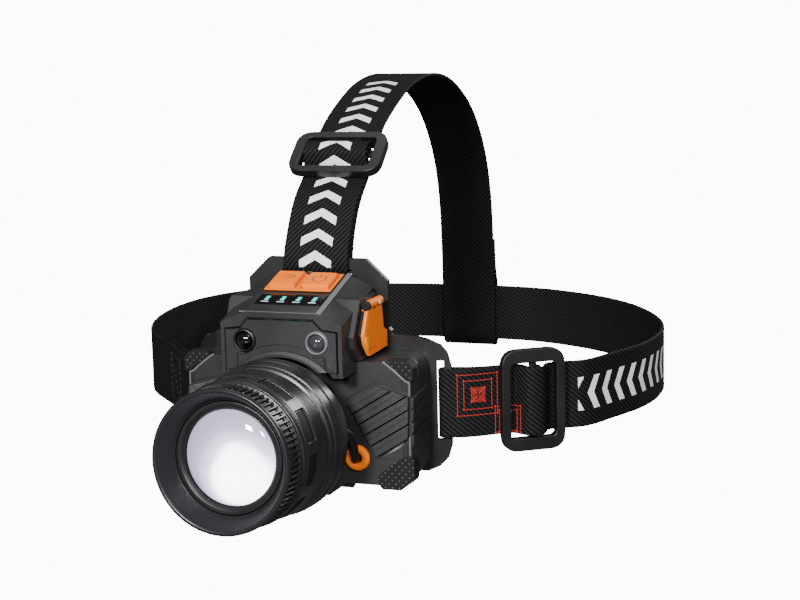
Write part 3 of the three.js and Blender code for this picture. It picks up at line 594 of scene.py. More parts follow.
def ring_tree():
    """Repeats the input shape round the Y axis."""
    tree, source = repeater("Ring", (("Count", "NodeSocketInt", 8),
                                     ("Radius", "NodeSocketFloat", 20.0),
                                     ("Along", "NodeSocketFloat", 0.0),
                                     ("Material", "NodeSocketMaterial", None)))
    count = source.outputs["Count"]
    points = add(tree, "GeometryNodePoints", {"Count": count})
    index = add(tree, "GeometryNodeInputIndex")
    share = add(tree, "ShaderNodeMath", {0: index.outputs[0], 1: count}, operation="DIVIDE")
    angle = add(tree, "ShaderNodeMath", {0: share.outputs[0], 1: 2 * math.pi}, operation="MULTIPLY")
    spot = {"Y": source.outputs["Along"]}
    for axis, operation in (("X", "COSINE"), ("Z", "SINE")):
        side = add(tree, "ShaderNodeMath", {0: angle.outputs[0]}, operation=operation)
        reach = add(tree, "ShaderNodeMath", {0: side.outputs[0], 1: source.outputs["Radius"]},
                    operation="MULTIPLY")
        spot[axis] = reach.outputs[0]
    place = add(tree, "ShaderNodeCombineXYZ", spot)
    back = add(tree, "ShaderNodeMath", {0: angle.outputs[0], 1: -1.0}, operation="MULTIPLY")
    turn = add(tree, "ShaderNodeCombineXYZ", {"Y": back.outputs[0]})
    placed = add(tree, "GeometryNodeSetPosition", {"Geometry": points.outputs[0],
                                                   "Position": place.outputs[0]})
    shapes = add(tree, "GeometryNodeInstanceOnPoints", {"Points": placed.outputs[0],
                                                        "Instance": source.outputs["Geometry"],
                                                        "Rotation": turn.outputs[0]})
    return close_tree(tree, source, shapes.outputs[0])


def row_tree():
    """Repeats the input shape along a straight step."""
    tree, source = repeater("Row", (("Count", "NodeSocketInt", 5),
                                    ("Step", "NodeSocketVector", (1.0, 0.0, 0.0)),
                                    ("Material", "NodeSocketMaterial", None)))
    line = add(tree, "GeometryNodeMeshLine", {"Count": source.outputs["Count"],
                                              "Offset": source.outputs["Step"]})
    shapes = add(tree, "GeometryNodeInstanceOnPoints", {"Points": line.outputs[0],
                                                        "Instance": source.outputs["Geometry"]})
    return close_tree(tree, source, shapes.outputs[0])


def stitch_tree():
    """Lays stitches along the edges of the input lines."""
    tree, source = repeater("Stitches", (("Spacing", "NodeSocketFloat", 2.4),
                                         ("Length", "NodeSocketFloat", 1.8),
                                         ("Thickness", "NodeSocketFloat", 0.45),
                                         ("Material", "NodeSocketMaterial", None)))
    path = add(tree, "GeometryNodeMeshToCurve", {"Mesh": source.outputs["Geometry"]})
    spots = add(tree, "GeometryNodeCurveToPoints", {"Curve": path.outputs[0],
                                                    "Length": source.outputs["Spacing"]}, mode="LENGTH")
    thread = add(tree, "GeometryNodeMeshUVSphere", {"Segments": 6, "Rings": 5, "Radius": 1.0})
    half_thick, half_long = [
        add(tree, "ShaderNodeMath", {0: source.outputs[name], 1: 0.5}, operation="MULTIPLY").outputs[0]
        for name in ("Thickness", "Length")]
    shape = add(tree, "ShaderNodeCombineXYZ", {"X": half_thick, "Y": half_thick, "Z": half_long})
    shapes = add(tree, "GeometryNodeInstanceOnPoints", {"Points": spots.outputs[0],
                                                        "Instance": thread.outputs[0],
                                                        "Rotation": spots.outputs["Rotation"],
                                                        "Scale": shape.outputs[0]})
    return close_tree(tree, source, shapes.outputs[0])


def dot_tree():
    """Sets dots on the front of the input shape wherever a lattice looking along +Y meets it."""
    tree, source = repeater("Dots", (("Spacing", "NodeSocketFloat", 1.7),
                                     ("Radius", "NodeSocketFloat", 0.4),
                                     ("Centre", "NodeSocketVector", (0.0, 0.0, 0.0)),
                                     ("Rows", "NodeSocketInt", 14),
                                     ("Material", "NodeSocketMaterial", None)))
    count = source.outputs["Rows"]
    side = add(tree, "ShaderNodeMath", {0: count, 1: source.outputs["Spacing"]}, operation="MULTIPLY")
    lattice = add(tree, "GeometryNodeMeshGrid", {"Size X": side.outputs[0], "Size Y": side.outputs[0],
                                                 "Vertices X": count, "Vertices Y": count})
    upright = add(tree, "GeometryNodeTransform", {"Geometry": lattice.outputs[0],
                                                  "Translation": source.outputs["Centre"],
                                                  "Rotation": (math.radians(90), math.radians(45), 0.0)})
    ray = add(tree, "GeometryNodeRaycast", {"Target Geometry": source.outputs["Geometry"],
                                            "Ray Direction": (0.0, 1.0, 0.0), "Ray Length": 60.0})
    hit = add(tree, "GeometryNodeCaptureAttribute", {"Geometry": upright.outputs[0]})
    hit.capture_items.new("BOOLEAN", "Hit")
    hit.capture_items.new("VECTOR", "Spot")
    tree.links.new(ray.outputs["Is Hit"], hit.inputs["Hit"])
    tree.links.new(ray.outputs["Hit Position"], hit.inputs["Spot"])
    moved = add(tree, "GeometryNodeSetPosition", {"Geometry": hit.outputs["Geometry"],
                                                  "Position": hit.outputs["Spot"]})
    dot = add(tree, "GeometryNodeMeshUVSphere", {"Segments": 6, "Rings": 4,
                                                 "Radius": source.outputs["Radius"]})
    shapes = add(tree, "GeometryNodeInstanceOnPoints", {"Points": moved.outputs[0],
                                                        "Instance": dot.outputs[0],
                                                        "Selection": hit.outputs["Hit"]})
    return close_tree(tree, source, shapes.outputs[0])


# Filled by the stage's operator, before any piece is made: node trees and materials by name.
TREES = {}
FINISHES = {}


def repeat(obj, tree_name, **values):
    """Runs one of the trees on the object; a keyword is an input's name, with _ for a space."""
    step = obj.modifiers.new("repeat", "NODES")
    step.node_group = TREES[tree_name]
    sockets = {item.name: item.identifier for item in step.node_group.interface.items_tree
               if item.in_out == "INPUT"}
    for label, value in values.items():
        step[sockets[label]] = FINISHES[value] if label == "Material" else value
    return bake(obj)


def lines_object(lines):
    """Open lines of points as one object of edges."""
    bm = bmesh.new()
    for line in lines:
        verts = [bm.verts.new(point) for point in line]
        for one, two in zip(verts, verts[1:]):
            bm.edges.new((one, two))
    return from_bmesh("lines", bm, outward=False)


# ---------------------------------------------------------------- light head
# Outlines of (radius, y), turned about the tilted axis of the light head.
BARREL_OUTLINE = [(22.2, -84.2), (24.5, -84.2), (24.9, -83.8), (25.1, -82.5), (24.8, -82.3),
                  (24.8, -82.0), (25.2, -81.8), (25.3, -72.6), (25.5, -71.0), (26.0, -67.5),
                  (26.0, -67.0), (25.1, -66.8), (25.1, -64.5), (26.1, -64.2), (26.3, -62.0),
                  (25.6, -61.8), (25.6, -61.1), (26.5, -60.9), (26.8, -56.6), (27.15, -56.1),
                  (27.2, -51.6), (26.6, -50.9), (24.5, -50.7), (24.5, -46.6), (23.9, -46.2),
                  (23.9, -45.8), (24.3, -45.4), (24.3, -43.9), (23.8, -43.5), (18.6, -43.5),
                  (18.6, -31.5), (10.0, -31.5), (10.0, -53.6), (20.6, -53.6), (20.6, -69.5),
                  (22.2, -69.5)]
GRIP_OUTLINE = [(20.4, -70.0), (21.8, -70.0), (21.8, -84.6), (24.1, -84.6), (24.3, -84.8),
                (24.3, -85.2), (23.6, -85.4), (23.15, -85.6), (23.15, -93.2), (23.0, -93.4),
                (22.6, -93.4), (22.6, -86.0), (20.4, -86.0)]
BEZEL_OUTLINE = [(19.1, -87.6), (22.3, -87.6), (22.3, -93.7), (24.1, -93.7), (24.35, -94.0),
                 (24.3, -95.0), (23.8, -95.6), (23.3, -95.7), (22.7, -95.5), (19.5, -88.8),
                 (19.1, -88.5)]
RING_OUTLINE = [(16.5, -86.6), (16.5, -87.5), (18.9, -87.5), (18.9, -88.3), (18.6, -88.5),
                (17.4, -88.5), (16.7, -87.9), (16.1, -87.2), (16.1, -86.6)]
POCKET_MIDDLE, POCKET_HALF = 24.0, 13.5        # degrees round the axis, of the first pocket
RIDGE_REACH, RIDGE_Y, RIDGE_HALF = 23.7, -89.5, 3.75


def build_barrel():
    """Barrel with its pockets, and thin black sheets of painted shade at the bottoms of the pockets."""
    barrel = lathe(rounded(BARREL_OUTLINE, 0.18, 2), frame_matrix=HEAD)
    barrel = cut(barrel, box((-30, 30), (WING_FRONT - 0.3, 0), (-40, 40)))
    angles = [math.radians(POCKET_MIDDLE + (k / 10 - 1) * POCKET_HALF) for k in range(21)]
    pocket = soften(prism(sector(24.55, 27.0, angles), "y", -80.8, -73.4), 0.3, 2)
    # A thin black sheet at the bottom of each pocket: painted shade in the recess.
    floor = prism(sector(24.45, 24.62, angles[1:-1]), "y", -80.5, -73.7)
    pockets, shade_sheets = [repeat(one, "ring", Count=sizes().pocket_count, Radius=0.0, Along=0.0)
                       for one in (pocket, floor)]
    for one in (pockets, shade_sheets):
        one.data.transform(HEAD)
    finish(shade_sheets, "pocket_shade", "lamp", "rubber")
    finish(cut(barrel, pockets), "barrel_shell", "lamp", "anodised_aluminium",
           ["barrel_base"])


def build_focus_head():
    """Knurled grip and the bezel in front of it."""
    grip = lathe(rounded(GRIP_OUTLINE, 0.12, 2), frame_matrix=HEAD)
    finish(grip, "grip_body", "focus_head", "anodised_aluminium", ["focus_grip"])
    height = sizes().ridge_height / MM
    ridge = prism([(-height, -0.6), (height, -0.34), (height, 0.34), (-height, 0.6)], "y",
                  -RIDGE_HALF, RIDGE_HALF)
    ridges = repeat(soften(ridge, 0.14, 2), "ring", Count=sizes().ridge_count, Radius=RIDGE_REACH,
                    Along=RIDGE_Y)
    ridges.data.transform(HEAD)
    finish(ridges, "grip_ridges", "focus_head", "anodised_aluminium")
    rim = lathe(rounded(BEZEL_OUTLINE, 0.2, 3), frame_matrix=HEAD)
    finish(rim, "bezel_rim", "focus_head", "anodised_aluminium", ["bezel"])


def build_optics():
    """Lens and the ring that holds it, which move without turning."""
    lens = lathe(dome(16.3, -82.0, -85.3, 5, 18), frame_matrix=HEAD)
    finish(lens, "condenser_lens", "optic", "lit_lens", ["lens"])
    ring = lathe(rounded(RING_OUTLINE, 0.15, 2), frame_matrix=HEAD)
    finish(ring, "lens_retainer", "optic", "plate_abs", ["lens_ring"])


# ---------------------------------------------------------------- housing
# Outlines on the front face, as (X, Z) on the right side.
PATCH = [(18.9, 4.1), (29.4, 10.6), (41.8, 7.1), (41.4, -7.5), (29.7, -14.7)]
PATCH_SEAT = [(17.6, 4.4), (29.3, 11.6), (43.2, 7.9), (43.2, -8.4), (29.8, -16.2)]
LOWER_GROOVE = [(30.6, -24.0), (32.0, -24.0), (43.5, -16.9), (43.5, -14.9)]
# Outline of a strip of painted highlight along the upper chamfer of the wing's front.
WING_HIGHLIGHT = [(32.6, 19.1), (35.9, 16.7), (40.8, 12.6), (42.2, 12.1), (42.2, 7.2), (41.7, 7.2),
            (41.7, 11.7), (40.5, 12.1), (35.6, 16.2), (32.0, 18.8)]
RIB_ALONG = Vector((0.851, 0.525))
RIB_ACROSS = Vector((0.525, -0.851))
RIB_STEP = RIB_ACROSS * 4.33


def rib_patch():
    """Stepped ribs of the right wing, cut to the patch on the front face."""
    turn = Matrix(((RIB_ALONG.x, 0, RIB_ACROSS.x, 0), (0, 1, 0, 0),
                   (RIB_ALONG.y, 0, RIB_ACROSS.y, 0), (0, 0, 0, 1)))
    lean = Matrix.Rotation(math.radians(11), 4, "X")
    rib = cut(box((-16, 16), (-1.1, 2.0), (0.2, 4.05)), box((-17, 17), (-3, -0.85), (2.0, 2.3)))
    for step in (lean, turn, Matrix.Translation((28.2, WING_FRONT + 0.05, 9.2))):
        rib.data.transform(step)
    ribs = repeat(rib, "row", Count=5, Step=(RIB_STEP.x, 0.0, RIB_STEP.y))
    patch = prism(PATCH, "y", WING_FRONT - 2, WING_FRONT + 0.4)
    return soften(keep(ribs, patch), 0.16, 2)


def side_ribs():
    """The same ribs where they turn on to the side wall and run back, narrower and rising."""
    rib = prism([(-29.4, -1.75), (-29.4, 1.75), (-12.0, 3.6), (-10.6, 2.9), (-12.5, 1.2)], "x",
                WING_HALF - 0.5, WING_HALF + 0.75)
    rib.data.transform(Matrix.Translation((0, 0, 4.6)))
    return soften(repeat(rib, "row", Count=4, Step=(0.0, 0.0, -4.4)), 0.2, 2)


def corner_fill(low, high, radius=6.2):
    """Fills the chamfer of the upper corner up to a round one, between two places along Y."""
    curve = arc(radius, [math.radians(90 * k / 10) for k in range(11)],
                (WING_HALF - radius, WING_TOP - radius))
    return prism([(30, WING_TOP - 4), (WING_HALF, 8.0)] + curve + [(30, WING_TOP)], "y", low, high)


def build_housing():
    """Front and rear shells, the ribs of both wings and the strips of painted highlight on the chamfers
    round them.
    """
    tools = [prism(LOWER_GROOVE, "y", WING_FRONT - 1, WING_FRONT + 0.35),
             prism(rounded(PATCH_SEAT, 0.8), "y", WING_FRONT - 1, WING_FRONT + 0.45)]
    for x in (39.2, 40.5):
        for z in ((6.0, 14.0), (-15.5, -6.0)):
            tools.append(box((x, x + 0.45), (WING_FRONT - 1, WING_FRONT + 0.5), z))
    front = cut(cad_shape("front_cover"), *both_sides(tools))
    fill = keep(corner_fill(-25.6, -19.2), box((0, 60), (-40, 0), (0, 40)))
    front = soften(fuse(front, *both_sides([fill])), 0.6, 3)
    finish(front, "housing_front", "lamp", "housing_abs", ["front_cover"])
    low, high = WING_FRONT - 0.3, WING_FRONT + 0.4
    # Pale strips on the wing chamfers and the side edge: painted highlight.
    edge_highlights = [prism(WING_HIGHLIGHT, "y", low, high), box((41.5, 42.0), (low, high), (-14.0, -7.4))]
    edge_highlights = soften(gather(*both_sides(edge_highlights)), 0.12, 2)
    finish(edge_highlights, "wing_highlights", "lamp", "highlight_grey_abs")
    right = gather(rib_patch(), side_ribs())
    for word, ribs in (("right", right), ("left", mirrored(right))):
        finish(ribs, "wing_ribs_" + word, "lamp", "housing_abs")
    rear = fuse(cad_shape("rear_housing"), *both_sides([corner_fill(-18.2, -8.4)]))
    rear = soften(rear, 0.9, 3)
    finish(rear, "housing_rear", "lamp", "housing_abs", ["rear_housing"])


PAD_OUTLINES = {
    "upper": [(32.6, 19.4), (41.4, 12.5), (44.0, 12.5), (44.0, 20.4), (36.0, 20.4)],
    "lower": [(29.0, -22.5), (40.3, -13.6), (44.2, -15.0), (44.2, -21.5), (40.5, -27.0), (31.5, -27.0)],
}


def build_corner_pads():
    """Four rubber pads, each with rows of grip dots on its front."""
    for level in ("lower", "upper"):
        for word in ("left", "right"):
            node = "corner_pad_" + level + "_" + word
            outline = [(x if word == "right" else -x, z) for x, z in rounded(PAD_OUTLINES[level], 2.4, 6)]
            pad = soften(keep(cad_shape(node), prism(outline, "y", -34, -20)), 0.45, 3)
            low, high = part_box(node)
            middle = (low + high) / 2 / MM
            dots = new_object("dots", pad.data.copy())
            dots = repeat(dots, "dots", Spacing=sizes().dot_spacing / MM, Radius=0.3,
                          Centre=(middle.x, -60.0, middle.z), Rows=16)
            finish(dots, node + "_dots", "lamp", "rubber_dots")
            finish(pad, node + "_cap", "lamp", "rubber", [node])


# ---------------------------------------------------------------- hood and face
FACE_GROOVE = [(21.3, 16.0), (21.3, 31.4), (15.5, 32.1), (12.4, 35.4), (-12.4, 35.4), (-15.5, 32.1),
               (-21.3, 31.4), (-21.3, 16.0), (-20.3, 16.0), (-20.3, 30.6), (-14.9, 31.2),
               (-11.9, 34.4), (11.9, 34.4), (14.9, 31.2), (20.3, 30.6), (20.3, 16.0)]
FACE_CORNER = [(16.7, 16.0), (16.7, 22.4), (12.0, 22.4), (12.0, 21.8), (16.1, 21.8), (16.1, 16.0)]
ARCH_GROOVE = [(26.6, FACE_Y - 1), (27.2, FACE_Y - 1), (27.2, FACE_Y + 0.4), (26.6, FACE_Y + 0.4)]
ARCH_OUTLINE = [(22.7, -44.4), (23.4, -44.6), (23.6, -43.9), (24.9, -43.7), (24.9, -42.6),
                (22.7, -42.6)]
LUG_OUTLINE = [(0.0, -23.7), (1.7, -23.7), (1.7, -20.3), (0.0, -20.3)]


def build_hood():
    """Hood shell, face panel, the lip of its arch and strips of painted highlight on the edges of the
    slope.
    """
    hood = cut(cad_shape("lamp_hood"), prism(FACE_GROOVE, "y", FACE_Y - 1, FACE_Y + 0.9))
    room = keep(lathe(LUG_OUTLINE, 32, HINGE), box((25.3, 30), (-30, -10), (30, 45)))
    hood = soften(cut(hood, room), 0.55, 3)
    finish(hood, "hood_shell", "lamp", "housing_abs", ["lamp_hood"])
    face = cad_shape("face_plate")
    for side in (-1, 1):
        face = cut(face, prism([(side * x, z) for x, z in FACE_CORNER], "y", FACE_Y - 1, FACE_Y + 0.5))
    groove = keep(lathe(ARCH_GROOVE, 96, ARCH_CENTRE),
                  box((-EYE_SIDE, EYE_SIDE), (FACE_Y - 2, FACE_Y + 1), (10, 40)))
    face = soften(cut(face, groove), 0.3, 3)
    finish(face, "face_panel", "lamp", "housing_abs", ["face_plate"])
    arch = keep(lathe(rounded(ARCH_OUTLINE, 0.2), 144, ARCH_CENTRE), box((-20, 20), (-50, -40), (17.2, 40)))
    finish(arch, "arch_lip", "lamp", "housing_abs")
    # Pale strips along the slope's side and front edges: painted highlight.
    edge = prism([(12.9, -0.3), (14.6, -0.9), (14.9, -0.2), (13.3, 0.35)], "y", 0.9, 33.2)
    edge.data.transform(SLOPE)
    finish(soften(edge, 0.15, 2), "slope_edge_highlight", "lamp", "highlight_grey_abs")
    lip = box((-15.6, 13.6), (0.25, 0.6), (-0.2, 0.1), SLOPE)
    finish(lip, "slope_lip_highlight", "lamp", "highlight_grey_abs")


# Each eye of the face: its node, its ring's node, its place along X, and its slot and finishes.
EYES = (("sensor_dome", "sensor_ring", -EYE_SIDE, "dark_lens", "smoked_dome", "plate_abs"),
        ("signal_lens", "signal_ring", EYE_SIDE, "clear_lens", "clear_dome", "highlight_grey_abs"))
EYE_RING = [(3.25, -44.0), (3.55, -44.3), (4.05, -44.0), (4.2, -43.4), (4.2, -40.0), (3.25, -40.0)]


def build_eyes():
    """Motion sensor and signal light, each a dome in a ring."""
    for node, ring_node, x, glass_slot, glass, rim in EYES:
        ring = lathe(rounded(EYE_RING, 0.15, 2), 64, (x, EYE_Z))
        finish(ring, node + "_ring", "lamp", rim, [ring_node])
        eye = lathe(dome(3.1, -39.6, -43.0, 2.4, 10), 48, (x, EYE_Z))
        finish(eye, node + "_dome", "lamp", glass, [node])


# ---------------------------------------------------------------- top controls, in the slope's frame
def arc_band(x, s, radius, start, end, low, high):
    """Part of a flat ring in the slope's frame, 0.5 mm wide, between two angles in degrees."""
    angles = [math.radians(start + (end - start) * k / 24) for k in range(25)]
    edges = ((radius + 0.25, angles), (radius - 0.25, angles[::-1]))
    outline = [(x + reach * math.sin(a), s + reach * math.cos(a)) for reach, row in edges for a in row]
    return prism(outline, "z", low, high, SLOPE)


def icon_power(x, s, low, high):
    """Open ring with a bar."""
    return [arc_band(x, s, 2.5, 35, 325, low, high),
            box((x - 0.28, x + 0.28), (s + 0.8, s + 3.1), (low, high), SLOPE)]


def icon_wave(x, s, low, high):
    """Three arcs inside each other, for the motion sensor."""
    return [arc_band(x - 0.6, s - 1.9, radius, -40, 60, low, high) for radius in (1.5, 2.9, 4.3)]


# Each key: its two sides along X and its icon. The icon is sunk into the key's top, with painted shade laid
# in it.
KEYS = {"sensor": (-11.2, -1.5, icon_wave), "power": (0.9, 11.3, icon_power)}
KEY_TOP = 2.3
ICON_PLACE = 23.7
LIGHT_START = Matrix.Translation((-9.2, 0, 0))
LIGHT_STEP = (5.95, 0.0, 0.0)
LIGHT_MARK = [(-0.75, 9.95), (0.35, 9.95), (0.85, 12.65), (-0.25, 12.65)]


def build_controls():
    """Key surround, both keys with painted shade in their sunk marks, and the window of the charge lights.
    """
    surround = cut(cad_shape("button_frame"), box((-20, 20), (10, 40), (0.95, 3), SLOPE))
    finish(soften(surround, 0.25, 2), "key_surround", "lamp", "orange_abs",
           ["button_frame"])
    for name, (left, right, icon) in KEYS.items():
        middle = (left + right) / 2
        key = soften(cad_shape("button_" + name), 1.05, 2, 40)
        key = cut(key, *icon(middle, ICON_PLACE, KEY_TOP - 0.35, KEY_TOP + 1))
        finish(key, name + "_key", name + "_key", "orange_silicone", ["button_" + name])
        # A thin dark sheet at the bottom of the sunk icon: painted shade.
        mark = gather(*icon(middle, ICON_PLACE, KEY_TOP - 0.34, KEY_TOP - 0.08))
        finish(mark, name + "_mark", name + "_key", "icon_shade")
    notch = soften(box((-1.2, 0.6), (29.3, 30.9), (0.5, 1.6), SLOPE), 0.2, 2)
    finish(notch, "key_notch", "lamp", "plate_abs")
    window = soften(cad_shape("indicator_window"), 0.12, 2)
    finish(window, "light_window", "lamp", "dark_window", ["indicator_window"])
    mark = prism(LIGHT_MARK, "z", 0.0, 0.16, SLOPE)
    bar = box((-1.3, 1.5), (8.05, 8.75), (0.05, 0.17), SLOPE)
    for one, name, paint in ((mark, "charge_marks", "light_cyan"), (bar, "charge_bars", "grey_ink_and_glint")):
        one.data.transform(LIGHT_START)
        finish(repeat(one, "row", Count=4, Step=LIGHT_STEP), name, "lamp", paint)


# The port door from its side, as (Y, Z): the outer and the inner edge of the groove round its
# border, and the thumb lip. Below it, outlines of (radius, Y) about the hinge.
DOOR_OUTER = [(-13, 22.2), (-27.6, 21.9), (-31.2, 25.5), (-32.0, 28.4), (-28.6, 34.9)]
DOOR_INNER = [(-28.2, 34.6), (-31.4, 28.3), (-30.7, 25.8), (-27.4, 22.5), (-13, 22.8)]
THUMB_LIP = [(-33.0, 27.9), (-29.9, 27.6), (-29.7, 22.7), (-31.7, 24.9), (-32.3, 25.9)]
CAP_OUTLINE = [(0.0, -27.6), (1.66, -27.6), (1.66, -29.4), (0.0, -29.4)]
SLEEVE_OUTLINE = [(0.9, -23.6), (1.6, -23.6), (1.6, -20.4), (0.9, -20.4)]


def build_covers():
    """Port door with its black inner layer, its hinge and its thumb lip, and the trim on the left."""
    cover = soften(cad_shape("port_cover"), 0.5, 3)
    cover = cut(cover, prism(DOOR_OUTER + DOOR_INNER, "x", POD_HALF + 2.3, POD_HALF + 4))
    layer = ((20, POD_HALF + 1.5), (-40, 0), (15, 36.4))
    seal = keep(new_object("seal", cover.data.copy()), box(*layer))
    finish(seal, "port_door_seal", "flap", "rubber")
    finish(cut(cover, box(*layer)), "port_door", "flap", "orange_silicone", ["port_cover"])
    cap = lathe(rounded(CAP_OUTLINE, 0.3, sharp=(0,)), 32, HINGE)
    finish(cap, "hinge_cap", "flap", "rubber")
    finish(lathe(SLEEVE_OUTLINE, 32, HINGE), "hinge_sleeve", "lamp", "orange_silicone")
    # The thumb lip: orange rubber painted yellower, a painted highlight on its lit face.
    lip = soften(prism(THUMB_LIP, "x", POD_HALF + 2.4, POD_HALF + 3.1), 0.25, 2)
    finish(lip, "thumb_lip", "flap", "highlight_orange_silicone")
    # A small stud at the door's hinge, light grey as a painted glint.
    rim = arc(0.7, [2 * math.pi * k / 24 for k in range(24)], (-19.0, HINGE[1]))
    stud = prism(rim, "x", HINGE[0] + 1.2, HINGE[0] + 1.85)
    finish(stud, "hinge_stud_glint", "flap", "grey_ink_and_glint")
    trim = soften(cad_shape("side_trim"), 0.4, 3)
    finish(trim, "left_trim", "lamp", "housing_abs", ["side_trim"])


# ---------------------------------------------------------------- cable
CABLE_RADIUS = 1.5
CABLE_SIDES = 20
CABLE_ROUTE = [(22.3, -28.3, -15.7), (22.3, -30.8, -15.7), (22.5, -33, -15.1), (23, -34.9, -12.6),
               (23.3, -37, -8.6), (23.5, -40.5, -5), (23.4, -45, -3), (23.3, -50.5, -2.5)]
GROMMET_OUTLINE = [(1.75, -28.3), (3.1, -28.3), (3.1, -29.9), (4.5, -29.9), (4.75, -30.4),
                   (4.5, -31.2), (3.8, -31.8), (2.7, -31.8), (1.9, -31.3)]


def build_cable():
    """The orange ring and the short cable, a tube along its route."""
    ring = lathe(rounded(GROMMET_OUTLINE, 0.35, 3), 72, GROMMET)
    finish(ring, "cable_ring", "lamp", "orange_silicone", ["cable_grommet"])
    line = smooth_line([Vector(p) for p in CABLE_ROUTE], 8)
    bm = bmesh.new()
    rings = []
    for i, at in enumerate(line):
        along = (line[min(i + 1, len(line) - 1)] - line[max(i - 1, 0)]).normalized()
        out = along.cross(Vector((1, 0, 0))).normalized()
        across = out.cross(along).normalized()
        turn = [2 * math.pi * k / CABLE_SIDES for k in range(CABLE_SIDES)]
        rings.append([bm.verts.new(at + (across * math.cos(a) + out * math.sin(a)) * CABLE_RADIUS)
                      for a in turn])
    for one, two in zip(rings, rings[1:]):
        for k in range(CABLE_SIDES):
            n = (k + 1) % CABLE_SIDES
            bm.faces.new((one[k], one[n], two[n], two[k]))
    bm.faces.new(rings[0])
    bm.faces.new(rings[-1])
    finish(from_bmesh("cable", bm), "head_cable", "lamp", "cable_pvc", ["lamp_cable"])


# ---------------------------------------------------------------- bracket
# Where each slider sits on its strap: its middle in the strap's plane, the strap's angle there, and
# the side of the strap that faces outwards.
BAND_SLIDER = {"at": (76, 6.8), "turn": 0.62, "side": -1}
TOP_SLIDER = {"at": (16.5, 86.8), "turn": 0.7, "side": 1}
BAND_PLACE = Matrix.Translation((*BAND_SLIDER["at"], 0)) @ Matrix.Rotation(BAND_SLIDER["turn"], 4, "Z")
TOP_COS, TOP_SIN = math.cos(TOP_SLIDER["turn"]), math.sin(TOP_SLIDER["turn"])
TOP_PLACE = Matrix(((0, 0, 1, 0), (TOP_COS, -TOP_SIN, 0, TOP_SLIDER["at"][0]),
                    (TOP_SIN, TOP_COS, 0, TOP_SLIDER["at"][1]), (0, 0, 0, 1)))

# Each slider: node, half height, bar width, half width and its place; its own X runs along the strap.
SLIDERS = (("headband_slider", 12.0, 3.3, 18.6, BAND_PLACE),
           ("top_strap_slider", 10.3, 3.0, 18.1, TOP_PLACE))
SLOT_HALF = 13.7
EAR_TOP = [(28.0, 26.2), (28.0, 24.5), (36.0, 24.1), (40.6, 23.3), (45.2, 21.1), (47.5, 23.5),
           (40.0, 26.2)]


def rectangle(half_a, half_b):
    """Corners of a rectangle about the origin."""
    return [(-half_a, -half_b), (half_a, -half_b), (half_a, half_b), (-half_a, half_b)]


def build_bracket():
    """Back plate and the two strap sliders, each a frame with a middle bar."""
    plate = cut(cad_shape("back_plate"), *both_sides([prism(EAR_TOP, "y", -20, 10)]))
    finish(soften(plate, 0.55, 3), "bracket_plate", "bracket", "plate_abs", ["back_plate"])
    for node, half, bar, wide, place in SLIDERS:
        outer = rounded(rectangle(half, wide), 6.2, 8)
        window = rounded(rectangle(half - bar, SLOT_HALF), 2.2, 5, sharp=(0,))
        slider = cut(prism(outer, "y", -1.75, 1.75), prism(window, "y", -3, 3))
        slider = fuse(slider, box((-1.25, 1.25), (-1, 1), (-14.5, 14.5)))
        slider.data.transform(place)
        finish(soften(slider, 0.6, 3), node + "_frame", "bracket", "plate_abs", [node])


def build_pad():
    """Foam pad: a crowned cushion with a pressed border, flat where it is glued to the plate."""
    half_x, half_z, thick = 34.0, 22.0, 5.2
    rows, columns = 36, 52
    bm = bmesh.new()

    def corner(u, v):
        """Draws a square grid into a rounded one."""
        reach = max(abs(u), abs(v))
        if reach < 1e-6:
            return 0.0, 0.0
        length = (abs(u) ** 5 + abs(v) ** 5) ** 0.2
        return u / length * reach, v / length * reach

    front, back = [], []
    for j in range(rows + 1):
        front.append([])
        back.append([])
        for i in range(columns + 1):
            u, v = 2 * i / columns - 1, 2 * j / rows - 1
            a, b = corner(u, v)
            edge = max(abs(u), abs(v))
            crown = (1 - edge ** 6) ** 0.5
            border = 0.75 * math.exp(-((edge - 0.8) / 0.035) ** 2)
            cells = 0.16 * math.sin(a * half_x * 0.9) * math.sin(b * half_z * 0.9) if edge < 0.74 else 0.0
            height = max(0.4, thick * (0.18 + 0.82 * crown) - border + cells)
            front[j].append(bm.verts.new((a * half_x, min(0.0, height - thick), b * half_z)))
            back[j].append(bm.verts.new((a * half_x * 0.985, -thick, b * half_z * 0.985)))
    for j in range(rows):
        for i in range(columns):
            bm.faces.new((front[j][i], front[j][i + 1], front[j + 1][i + 1], front[j + 1][i]))
            bm.faces.new((back[j][i], back[j + 1][i], back[j + 1][i + 1], back[j][i + 1]))
    rim = [(0, i) for i in range(columns)] + [(j, columns) for j in range(rows)]
    rim += [(rows, i) for i in range(columns, 0, -1)] + [(j, 0) for j in range(rows, 0, -1)]
    for (j, i), (l, k) in zip(rim, rim[1:] + rim[:1]):
        bm.faces.new((front[j][i], front[l][k], back[l][k], back[j][i]))
    pad = from_bmesh("pad", bm)
    finish(pad, "forehead_cushion", "bracket", "knitted_foam", ["forehead_pad"], smooth=60)


